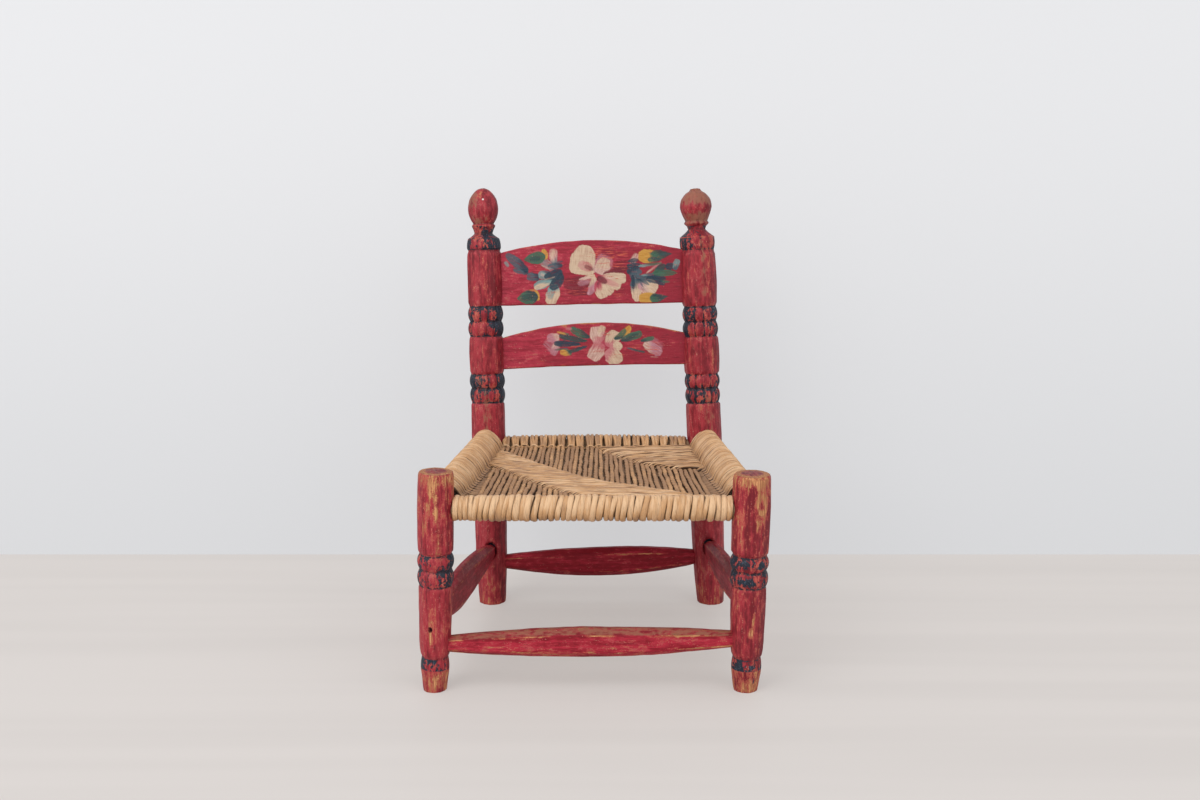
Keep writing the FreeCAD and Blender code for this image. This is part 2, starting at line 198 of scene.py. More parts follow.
wall_finish, recipe = new_finish("pale wall")
place = recipe.add("ShaderNodeTexCoord", {}, {}, 3)
# Painted shade: the wall is painted darker towards its foot.
wall_tone = recipe.mix(recipe.ramp(recipe.along_z(place), wall_foot, wall_head),
                       tuple(wall_foot_tone * part for part in wall_colour),
                       tuple(wall_head_tone * part for part in wall_colour))
matt = recipe.add("ShaderNodeBsdfDiffuse", {}, {"Color": wall_tone})
glow = recipe.add("ShaderNodeEmission", {}, {"Color": wall_tone, "Strength": 1.0})
mixed = recipe.shaders(wall_glow, matt, glow)
clear = recipe.add("ShaderNodeBsdfTransparent", {}, {})
from_behind = recipe.add("ShaderNodeNewGeometry", {}, {}, 6)
one_sided = recipe.shaders(from_behind, mixed, clear)
recipe.add("ShaderNodeOutputMaterial", {}, {"Surface": one_sided})
wall = stage_plane("wall", (-studio_reach, wall_y, 0), (2 * studio_reach, 0, 0),
                   (0, 0, studio_reach), wall_finish)
for ray in ("diffuse", "glossy", "transmission", "shadow"):
    setattr(wall, "visible_" + ray, False)

studio = bpy.data.worlds.new("studio")
studio.use_nodes = True
recipe = Recipe(studio.node_tree)
sky = recipe.add("ShaderNodeBackground", {}, {"Color": sky_colour, "Strength": sky_strength})
far_wall = recipe.add("ShaderNodeBackground", {}, {"Color": wall_colour, "Strength": 1.0})
seen = recipe.add("ShaderNodeLightPath", {}, {})
recipe.add("ShaderNodeOutputWorld", {}, {"Surface": recipe.shaders(seen, sky, far_wall)})
bpy.context.scene.world = studio

for name, lamp_place, width, watts in lamps:
    lamp_data = bpy.data.lights.new(name, "AREA")
    lamp_data.size = width
    lamp_data.energy = watts
    lamp = placed(name, lamp_data)
    lamp.location = lamp_place
    x, y, z = np.array(lamp_aim) - np.array(lamp_place)
    lamp.rotation_euler = (math.atan2(math.hypot(x, y), -z), 0, math.atan2(y, x) - math.pi / 2)


# The four posts. Each was turned, then shaved by hand into long flats, and pairs of beads
# were notched all round into lobes. Red paint covers the wood, with blue-black in the cuts,
# and both have worn off the ridges. Lengths are in metres, outlines in shares.

mm = 0.001
grain_apart = 0.37  # times its seed, this moves a piece to its own part of the grain
notch_width, notch_flare, lobe_corner, full_notch = 0.9 * mm, 1.3 * mm, 2.8 * mm, 1.5 * mm
facet_edge_drop, tool_mark, waviness = 0.0025, 0.16 * mm, 0.30 * mm
front_left_foot, front_left_top = (-0.1657, -0.1638, 0), (-0.1598, -0.1638, 0.234)
front_right_foot, front_right_top = (0.1591, -0.1638, 0), (0.1618, -0.1638, 0.2315)
rear_left_foot, rear_left_top = (-0.1261, 0.1122, 0), (-0.1348, 0.1672, 0.502)
rear_right_foot, rear_right_top = (0.1435, 0.1122, 0), (0.1218, 0.1672, 0.502)
front_left_radius, front_right_radius = 0.0188, 0.0199
rear_left_radius, rear_right_radius = 0.0213, 0.0212

# Each row of an outline is a share of the height, one of the radius and, where the cut is
# round, the radius share midway. Each row of notches is where a band starts and ends, how
# many lobes it has, and how deep the notches are.
leg_shares = (
    (0.0, 0.640), (0.012, 0.668), (0.065, 0.742), (0.150, 0.740, 0.790), (0.156, 0.725),
    (0.162, 0.735), (0.172, 0.800), (0.190, 0.832), (0.235, 0.870), (0.420, 0.925),
    (0.476, 0.928), (0.484, 0.895), (0.490, 0.880), (0.560, 0.890, 1.000),
    (0.564, 0.870), (0.630, 0.890, 1.010), (0.640, 0.895), (0.648, 0.975),
    (0.980, 0.960, 1.000), (0.992, 0.935), (1.0, 0.880),
)
leg_notches = (
    (0.488, 0.563, 9, 0.0006), (0.563, 0.636, 9, 0.0006), (0.104, 0.157, 8, 0.0004),
)
post_shares = (
    (0.0, 0.750), (0.006, 0.765), (0.036, 0.815), (0.066, 0.855), (0.118, 0.895),
    (0.205, 0.930), (0.330, 0.965), (0.420, 0.975), (0.484, 0.965), (0.487, 0.925),
    (0.490, 0.915), (0.5225, 0.925, 1.005), (0.5245, 0.905), (0.556, 0.925, 1.010),
    (0.559, 0.920), (0.564, 0.972), (0.643, 0.975, 1.000), (0.647, 0.925), (0.649, 0.905),
    (0.683, 0.925, 1.015), (0.685, 0.900), (0.719, 0.905, 1.000), (0.723, 0.915),
    (0.729, 0.970), (0.845, 0.970, 1.000), (0.851, 0.915), (0.854, 0.910),
)
egg_shares = (
    (0.858, 0.965), (0.882, 0.890, 0.955), (0.888, 0.670), (0.894, 0.508), (0.904, 0.580),
    (0.911, 0.665), (0.914, 0.655), (0.917, 0.565), (0.952, 0.856, 0.785),
    (0.975, 0.755, 0.828), (0.992, 0.480, 0.640), (0.9985, 0.300, 0.400), (1.0, 0.190),
)
ball_shares = (
    (0.861, 0.960), (0.886, 0.965, 0.990), (0.897, 0.640), (0.904, 0.485), (0.912, 0.550),
    (0.918, 0.690), (0.921, 0.675), (0.924, 0.610), (0.957, 0.900, 0.785),
    (0.975, 0.825, 0.882), (0.990, 0.545, 0.705), (0.9955, 0.330, 0.430), (1.0, 0.270),
)
post_notches = (
    (0.488, 0.5235, 12, 0.0016), (0.5235, 0.558, 12, 0.0016),
    (0.648, 0.684, 11, 0.0017), (0.684, 0.721, 11, 0.0017), (0.855, 0.884, 12, 0.0011),
    (0.886, 0.912, 7, 0.0006),
)


def patchy(across, along, seed, repeat=97):
    """Smooth random values from -1 to 1 with one knot per unit, repeating across."""
    knots = np.random.default_rng(seed).uniform(-1, 1, (repeat, 211))
    column, row = np.floor(across).astype(int), np.floor(along).astype(int)
    s, t = across - column, along - row
    s, t = s * s * (3 - 2 * s), t * t * (3 - 2 * t)
    near, far = column % repeat, (column + 1) % repeat
    low = knots[near, row % 211] * (1 - s) + knots[far, row % 211] * s
    high = knots[near, (row + 1) % 211] * (1 - s) + knots[far, (row + 1) % 211] * s
    return low * (1 - t) + high * t


def eased(value, low, high):
    share = np.clip((value - low) / (high - low), 0, 1)
    return share * share * (3 - 2 * share)


def skin(name, rings, marks, finish):
    """A closed piece over rings of points, with one middle point at each end."""
    rows, around = rings.shape[:2]

    def with_ends(values):
        values = np.asarray(values, dtype=float).reshape(rows, around, -1)
        flat = values.reshape(rows * around, -1)
        return np.concatenate([flat, values[:1].mean(axis=1), values[-1:].mean(axis=1)])

    here = np.arange(rows * around).reshape(rows, around)
    beside = np.roll(here, -1, axis=1)
    sides = np.stack([here[:-1], beside[:-1], beside[1:], here[1:]], axis=-1)
    start = np.stack([beside[0], here[0], np.full(around, rows * around)], axis=-1)
    end = np.stack([here[-1], beside[-1], np.full(around, rows * around + 1)], axis=-1)
    mesh = bpy.data.meshes.new(name)
    mesh.from_pydata(with_ends(rings).tolist(), [],
                     sides.reshape(-1, 4).tolist() + start.tolist() + end.tolist())
    kinds = {1: ("FLOAT", "value"), 3: ("FLOAT_VECTOR", "vector"), 4: ("FLOAT_COLOR", "color")}
    for mark, values in marks.items():
        values = with_ends(values)
        kind, field = kinds[values.shape[1]]
        mesh.attributes.new(mark, kind, "POINT").data.foreach_set(field, values.ravel())
    mesh.polygons.foreach_set("use_smooth", [True] * len(mesh.polygons))
    mesh.materials.append(finish)
    return placed(name, mesh)


def soften(heights, radii, reach):
    offsets = np.linspace(-2, 2, 9)
    weights = np.exp(-offsets ** 2 / 2)
    samples = [np.interp(heights + reach * offset, heights, radii) for offset in offsets]
    return np.tensordot(weights / weights.sum(), np.array(samples), 1)


def outline(shares, length, radius):
    """Heights and radii along a turned outline, closer together where it is detailed."""
    heights, radii = [shares[0][0] * length], [shares[0][1] * radius]
    detailed, fine_step, plain_step = 20 * mm, 0.6 * mm, 2.2 * mm
    for height_share, radius_share, *middle in shares[1:]:
        rise = height_share * length - heights[-1]
        steps = max(2, math.ceil(rise / (fine_step if rise < detailed else plain_step)))
        ends = np.array([radii[-1], radius_share * radius])
        half_way = middle[0] * radius if middle else ends.mean()
        for share in np.arange(1, steps + 1) / steps:
            heights.append(height_share * length - rise * (1 - share))
            radii.append(ends[0] * (1 - share) * (1 - 2 * share)
                         + half_way * 4 * share * (1 - share)
                         + ends[1] * share * (2 * share - 1))
    return np.array(heights), np.array(radii)


def turned_post(name, foot, top, radius, shares, notches, spots, cap_shares, wear, fade_and_shade_offset,
                inked, seed, finish):
    """Spots are rows of kind, height share, degrees from the front, half height and half
    width in millimetres, and strength, which is a depth in millimetres for a hole or slot."""
    around, flats = 150, 14
    foot, top = np.array(foot, dtype=float), np.array(top, dtype=float)
    length = np.linalg.norm(top - foot)
    axis = (top - foot) / length
    front = np.array([0, -1.0, 0]) - axis * -axis[1]
    front /= np.linalg.norm(front)
    right = np.cross(axis, front)
    rng = np.random.default_rng(seed)

    heights, radii = outline(shares, length, radius)
    turn = np.arange(around) * 2 * math.pi / around
    for kind, height_share, degrees, *_ in spots:
        if kind == "hole":
            extra = np.arange(-4.0, 4.1, 0.4) * mm + height_share * length
            finer = np.sort(np.concatenate([heights, extra]))
            finer = finer[np.concatenate([[True], np.diff(finer) > 0.15 * mm])]
            heights, radii = finer, np.interp(finer, heights, radii)
            turn = turn - 0.55 * np.sin(turn - math.radians(degrees))
    smooth_radii = soften(heights, radii, 0.4 * mm)
    proud = (smooth_radii - soften(heights, radii, 2.2 * mm))[:, None] + np.zeros(around)
    rows, turns = np.meshgrid(heights, turn, indexing="ij")
    cells = turns / (2 * math.pi)
    profile = np.repeat(smooth_radii[:, None], around, axis=1)

    middles = (np.arange(flats) + rng.uniform(-0.3, 0.3, flats)) * 2 * math.pi / flats
    reach = 0.984 + rng.uniform(-0.007, 0.009, flats)
    wander = 0.05 * patchy(turns * 0, rows / 0.06, seed + 1)
    swing = np.cos(turns[None] + wander[None] - middles[:, None, None])
    distances = np.sort(reach[:, None, None] / np.maximum(swing, 0.2), axis=0)[:2]
    ridge = np.exp(-(distances[1] - distances[0]) / 0.008)
    flat_radius = distances[0] - facet_edge_drop * ridge

    cut, band, rims = np.zeros_like(rows), np.zeros_like(rows), np.zeros_like(rows)
    for low, high, lobes, depth in notches:
        share = (rows / length - low) / (high - low)
        inside = eased(share, -0.06, 0.04) * eased(1 - share, -0.06, 0.04)
        lines = (np.arange(lobes) + rng.uniform(-0.22, 0.22, lobes)) * 2 * math.pi / lobes
        lines += rng.uniform(0, math.pi)
        away = np.abs((turns[None] - lines[:, None, None] + math.pi) % (2 * math.pi)
                      - math.pi) * radius
        bold = rng.uniform(0.35, 1.0, lobes)[away.argmin(axis=0)]
        away = away.min(axis=0)
        edge = np.abs(2 * share - 1).clip(0, 1.2)
        notch = np.exp(-(away / (notch_width + notch_flare * edge ** 3)) ** 2)
        corner = np.exp(-(away / lobe_corner) ** 2) * edge ** 4
        profile -= inside * (depth * (0.5 + 0.5 * bold) * notch + 0.35 * depth * corner)
        cut = np.maximum(cut, inside * np.maximum(notch * bold, 0.5 * corner)
                         * min(1, depth / full_notch))
        rims = np.maximum(rims, inside * eased(edge, 0.70, 1.0))
        band = np.maximum(band, inside)
    flatness = 1 - 0.75 * band
    finial = eased(rows / length, 0.925, 0.935)
    flatness = np.where(cap_shares[0] > 0.5, flatness, flatness * (1 - 0.45 * finial))
    profile *= 1 + (flat_radius - 1) * flatness
    profile += tool_mark * patchy(cells * 31, rows / 0.009, seed + 2, 31)
    profile += waviness * patchy(cells * 7, rows / 0.028, seed + 3, 7)

    head = eased(rows / length, 0.86, 0.88)
    bare = 0.75 * ridge * flatness + eased(proud, 0.1 * mm, 0.8 * mm) * (1 - 0.6 * head)
    hollow = np.clip(cut + eased(-proud, 0.1 * mm, 0.8 * mm), 0, 1)
    dabbed = patchy(cells * 11, rows / 0.011, seed + 5, 11)
    # Painted shade: on the bands the blue-black is laid on more heavily towards the sides, as seen
    # from the front.
    aside = eased(np.abs(np.sin(turns)), 0.62, 0.92)
    blue = band * (inked + 0.66 * cut + 0.34 * rims + 0.38 * dabbed + 0.28 * aside)
    # Painted light: the rear posts are painted lighter below the seat, against the seat's shadow.
    painted_light_below_seat = (length > 0.3) * (1 - eased(rows / length, 0.30, 0.55))
    # Painted shade: the red is painted lighter towards the front left and darker round the sides
    # and back. Each post's own offset lightens or darkens it, partly as painted shade.
    faded = 0.5 + 0.5 * np.cos(turns + 0.5) + fade_and_shade_offset + 0.25 * painted_light_below_seat
    chips = np.interp(rows / length, *np.array(wear).T) * (1 - band)
    chip, soiled = np.zeros_like(rows), np.zeros_like(rows)
    for kind, height_share, degrees, half_height, half_width, strength in spots:
        aside = (turns - math.radians(degrees) + math.pi) % (2 * math.pi) - math.pi
        far = (((rows - height_share * length) / (half_height * mm)) ** 2
               + (aside * radius / (half_width * mm)) ** 2)
        patch = strength * np.exp(-far ** 1.5)
        if kind == "hole":
            profile = np.where(far < 1, profile - strength * mm, profile)
            # Painted shade: the inside of the hole is painted dark.
            hollow = np.where(far < 1.1, 3, hollow)
        elif kind == "slot":
            inside = 1 - eased(far, 0.8, 1.1)
            profile = profile - strength * mm * inside
            # Painted shade: the mortise round the tenon is painted dark blue-black.
            hollow = np.maximum(hollow, inside)
            blue = np.maximum(blue, 0.9 * inside)
        elif kind == "bare":
            chips += patch
        elif kind == "soiled":
            soiled = np.maximum(soiled, patch)
        elif kind == "chip":
            chip = np.maximum(chip, strength * (1 - eased(far, 0.7, 1.1)))
        else:
            blue = blue + patch

    cap = np.array(cap_shares)[:, None] + np.zeros(around)
    profile = np.concatenate([profile, profile[-1:] * cap])
    rows = np.concatenate([rows, rows[-1:] + 0.9 * mm * (1 - cap ** 2)
                           + 0.3 * mm * patchy(cells[-1:] * 9, cap * 4, seed + 4, 9)])
    turns = np.concatenate([turns, turns[-1:] + 0 * cap])
    rim = np.interp(cap, [0.0, 0.55, 0.72, 1.0], [-0.6, -0.3, 2.2, 3.0])
    marks = {mark: np.concatenate([values, on_cap + 0 * cap]) for mark, values, on_cap in (
        ("bare", bare + chips, rim), ("hollow", hollow, 0.55), ("faded", faded, 0.3),
        ("soiled", soiled, 0.5), ("blue", blue, 0), ("chip", chip, 0))}

    outwards = (np.cos(turns)[..., None] * front + np.sin(turns)[..., None] * right)
    points = foot + axis * rows[..., None] + outwards * profile[..., None]
    drop = -points[0, :, 2] / axis[2]
    fade = np.clip(1 - rows / 0.02, 0, 1)
    points += (drop[None] * fade)[..., None] * axis
    points[0, :, 2] = 0
    local = np.stack([np.sin(turns) * profile, np.cos(turns) * profile, rows], axis=-1)
    marks["local"] = local + seed * grain_apart
    return skin(name, points, marks, finish)


dark_scratch, pale_scuff = (0.115, 0.006, 0.013), (0.53, 0.165, 0.150)
rubbed_dark, rubbed_light = (0.130, 0.010, 0.020), (0.58, 0.115, 0.060)
dark_wood, light_wood = (0.33, 0.120, 0.048), (0.62, 0.290, 0.125)
dark_primer, light_primer = (0.36, 0.052, 0.040), (0.50, 0.112, 0.070)
blue_black, blue_black_wear_and_sheen = (0.010, 0.014, 0.025), (0.055, 0.075, 0.110)
in_the_cuts, pale_nick = (0.030, 0.008, 0.011), (0.62, 0.34, 0.24)
brown_grime, white_spot_colour = (0.265, 0.105, 0.062), (0.74, 0.70, 0.64)


def worn_paint(name, deep, bright, gloss=0.30, flowers=False):
    """Red paint over orange-brown wood, worn off along the grain and on its edges."""
    finish, recipe = new_finish(name)
    place = recipe.mark("local", 1)
    bare, blue, hollow = recipe.mark("bare"), recipe.mark("blue"), recipe.mark("hollow")
    columns = recipe.noise(place, (1, 1, 0.05), 230, 4)
    streaks = recipe.noise(place, (1, 1, 0.16), 480, 5)
    scratches = recipe.noise(place, (1, 1, 0.07), 1100, 3)
    patches = recipe.noise(place, (1, 1, 0.40), 85, 5)
    blots = recipe.noise(place, (1, 1, 0.42), 270, 4)
    # This mark makes the red lighter or darker. On the posts and stretchers it is partly painted
    # shade and light.
    faded = recipe.mark("faded") - 0.5
    flecks = recipe.noise(place, (1, 1, 0.55), 1200, 3)
    grain = recipe.noise(place, (1, 1, 0.04), 900, 3)

    tone = columns * 0.40 + patches * 0.30 + blots * 0.30 + faded * 0.13
    red = recipe.mix(recipe.ramp(tone, 0.42, 0.58), deep, bright)
    red = recipe.mix(recipe.ramp(scratches, 0.55, 0.66) * 0.55, red, dark_scratch)
    scuffs = flecks * 0.30 + blots * 0.40 + patches * 0.30 + faded * 0.06
    red = recipe.mix(recipe.ramp(scuffs, 0.535, 0.62) * 0.42, red, pale_scuff)
    if flowers:
        cover = recipe.mark("pigment", 3)
        scratch = recipe.noise(place, (1, 1, 0.08), 720, 4)
        worn_off = recipe.ramp(scratch * 0.6 + flecks * 0.4, 0.53, 0.60)
        rubbed = recipe.mark("rubbed")
        dulled = recipe.ramp(1 - scratch, 0.50, 0.57) * rubbed * 0.8
        red = recipe.mix(dulled, red, rubbed_dark)
        red = recipe.mix(recipe.ramp(scratch, 0.53, 0.59) * rubbed, red, rubbed_light)
        kept = cover * (1 - worn_off * (0.15 + rubbed))
        red = recipe.mix(kept, red, recipe.mark("pigment", 0))
    rub = streaks * 0.25 + patches * 0.28 + blots * 0.27 + flecks * 0.20 + bare * 0.10
    primer = recipe.ramp(rub + blue * 0.06, 0.535, 0.580)
    worn = recipe.ramp(rub - blue * 0.05, 0.585, 0.635)
    wood = recipe.mix(recipe.ramp(grain, 0.35, 0.65), dark_wood, light_wood)
    under = recipe.mix(recipe.ramp(columns, 0.35, 0.65), dark_primer, light_primer)
    colour = recipe.mix(primer * 0.85, red, under)
    colour = recipe.mix(worn, colour, wood)
    dab = recipe.noise(place, (1, 1, 0.7), 330, 4)
    black = recipe.ramp(blue + (dab - 0.5) * 1.9 - (primer - 0.5) * 0.10, 0.60, 0.72)
    # Lighter blue-grey flecks in the blue-black: partly rubbed ink, partly painted sheen.
    blue_wear_and_sheen_flecks = recipe.ramp(flecks * 0.7 + streaks * 0.3, 0.52, 0.62)
    colour = recipe.mix(black, colour, recipe.mix(blue_wear_and_sheen_flecks, blue_black, blue_black_wear_and_sheen))
    # Dark in the cuts: dirt in the notches and hollows, and painted shade in the nail hole and the
    # mortises.
    colour = recipe.mix(hollow * 0.55 * recipe.ramp(dab, 0.30, 0.55), colour, in_the_cuts)
    nicks = recipe.ramp(streaks * 0.45 + flecks * 0.55 + faded * 0.02, 0.615, 0.65)
    colour = recipe.mix(nicks * (1 - black) * 0.6, colour, pale_nick)
    grime = recipe.ramp(recipe.mark("soiled") + (blots - 0.5) * 2.2, 0.35, 0.90)
    colour = recipe.mix(grime * 0.8, colour, brown_grime)
    # A small white spot near the top of the egg finial.
    colour = recipe.mix(recipe.mark("chip"), colour, white_spot_colour)
    roughness = 0.42 + worn * 0.28 + flecks * 0.16
    height = 0.55 * (1 - worn) + streaks * 0.5 + flecks * 0.35 + scratches * 0.3 + black * 0.2
    recipe.surface(colour, roughness, height, 0.0006, gloss)
    return finish


post_paint = worn_paint("worn red paint", (0.160, 0.006, 0.012), (0.365, 0.025, 0.036))
leg_cap = (0.96, 0.88, 0.78, 0.60, 0.38, 0.15)
finial_cap = (0.45,)
leg_wear = ((0.0, 0.80), (0.10, 0.70), (0.16, 0.06), (0.47, 0.0), (0.65, 0.08), (0.80, 0.28),
            (0.95, 0.46), (1.0, 0.75))
post_wear = ((0.0, 0.70), (0.03, 0.40), (0.07, 0.0), (0.12, -0.30), (0.45, -0.30), (0.55, -0.20),
             (0.86, -0.15), (0.90, 0.15), (0.93, -0.25), (0.96, -0.35), (0.985, 0.0), (1.0, 0.40))
posts = (
    ("front_left_leg", front_left_foot, front_left_top, front_left_radius, leg_shares,
     leg_notches, (
         ("hole", 0.3, -13, 2.9, 2.6, 11), ("bare", 0.255, -11, 8, 3.4, 1),
         ("bare", 0.345, -4, 20, 5, 0.6), ("bare", 0.925, -8, 10, 5, 1),
         ("bare", 0.86, -22, 6, 3, 1.1), ("bare", 0.83, 6, 8, 2.2, 1.1),
         ("bare", 0.76, -30, 12, 3.5, 0.8), ("bare", 0.975, 5, 6, 20, 0.7),
         ("bare", 0.7, 20, 15, 4, 0.5), ("bare", 0.05, 10, 8, 10, 0.5),
         ("blue", 0.12, -75, 14, 3, 0.5), ("blue", 0.56, 70, 16, 6, 0.25),
     ), leg_cap, leg_wear, 0.0, 0.52, 3),
    ("front_right_leg", front_right_foot, front_right_top, front_right_radius, leg_shares,
     leg_notches, (
         ("bare", 0.29, 5, 7, 3.5, 1.6), ("bare", 0.35, 12, 10, 2, 0.9),
         ("bare", 0.9, 15, 25, 2.2, 0.9), ("bare", 0.98, 0, 6, 20, 0.7),
         ("bare", 0.842, 27, 3, 3.2, 1.6), ("bare", 0.88, 40, 12, 3, 0.8),
         ("bare", 0.79, 18, 8, 3.5, 0.8), ("bare", 0.73, -10, 12, 3, 0.5),
         ("bare", 0.04, 0, 8, 12, 0.5), ("blue", 0.128, 22, 4, 4.5, 0.6),
         ("blue", 0.13, -38, 5, 6, 0.4), ("blue", 0.06, 28, 7, 1.6, 0.95),
         ("blue", 0.6, -15, 4.5, 7, 0.3), ("blue", 0.525, -25, 4, 6, 0.3),
         ("blue", 0.6, 35, 4, 5, 0.3),
     ), leg_cap, leg_wear, -0.45, 0.55, 8),
    ("rear_left_post", rear_left_foot, rear_left_top, rear_left_radius,
     post_shares + egg_shares, post_notches, (
         ("bare", 0.8, 5, 45, 3.2, 0.6), ("bare", 0.79, -45, 30, 2.5, 0.4),
         ("bare", 0.982, -12, 6, 6, 0.8), ("bare", 0.6, 30, 15, 3, 0.35),
         ("chip", 0.974, 5, 1.1, 1.5, 1), ("bare", 0.935, 30, 8, 4, 0.6),
         ("bare", 0.44, -35, 50, 2.5, 0.3), ("blue", 0.893, 12, 6, 6, 0.6),
         ("blue", 0.54, 62, 18, 9, 0.45), ("blue", 0.68, 62, 18, 11, 0.45),
         ("blue", 0.87, 30, 8, 16, 0.45), ("blue", 0.51, -60, 9, 6, 0.35),
         ("soiled", 0.975, -50, 13, 16, 0.8), ("soiled", 0.925, -20, 7, 20, 0.7),
         ("soiled", 0.56, -20, 30, 10, 0.4), ("soiled", 0.44, 0, 60, 6, 0.6),
         ("slot", 0.131, 3, 9.8, 9.2, 5),
     ), finial_cap, post_wear, -0.25, 0.49, 14),
    ("rear_right_post", rear_right_foot, rear_right_top, rear_right_radius,
     post_shares + ball_shares, post_notches, (
         ("bare", 0.775, 28, 55, 5, 0.55), ("blue", 0.868, -35, 7, 11, 0.4),
         ("bare", 0.975, -10, 9, 18, 0.3), ("bare", 0.6, 35, 18, 6, 0.45),
         ("bare", 0.945, -30, 6, 5, 0.3), ("bare", 0.945, 25, 8, 3, 0.3),
         ("bare", 0.44, 20, 50, 3, 0.35), ("bare", 0.935, 0, 6, 12, 0.35),
         ("blue", 0.55, -62, 18, 7, 0.4), ("blue", 0.895, 0, 3.5, 8, 0.4),
         ("blue", 0.52, 45, 10, 3, 0.45), ("blue", 0.68, -55, 15, 8, 0.35),
         ("soiled", 0.985, 0, 14, 50, 1), ("soiled", 0.93, 0, 8, 50, 0.9),
         ("soiled", 0.8, 15, 50, 6, 0.6), ("soiled", 0.44, 15, 50, 8, 0.6),
         ("slot", 0.141, -2, 9.8, 9, 5),
     ), finial_cap, post_wear, -0.25, 0.37, 21),
)
for name, *sizes in posts:
    post = turned_post("painted_" + name, *sizes, post_paint)
    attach(post, "root")
    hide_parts(name)


# The two slats. Each is a thin sawn board with an arched upper edge, held in slots in the
# rear posts. The front is painted with flowers, brushed wet in few strokes with two colours
# on the brush, and rubbed along the grain. The edges are worn to the wood.

slat_thickness = 0.008
slat_corner = 0.0017
slat_inset = 0.0065
back_up = np.array(rear_left_top) - np.array(rear_left_foot)
back_up[0] = 0
back_up /= np.linalg.norm(back_up)
back_front = np.cross((1.0, 0, 0), back_up)

cream, white, pink = (0.55, 0.40, 0.275), (0.56, 0.38, 0.305), (0.47, 0.17, 0.17)
rose, maroon, navy = (0.40, 0.055, 0.085), (0.13, 0.011, 0.020), (0.016, 0.038, 0.058)
slate, teal, green = (0.055, 0.085, 0.105), (0.165, 0.270, 0.260), (0.040, 0.105, 0.065)
dark_green, yellow, violet = (0.024, 0.052, 0.052), (0.50, 0.255, 0.045), (0.43, 0.20, 0.235)

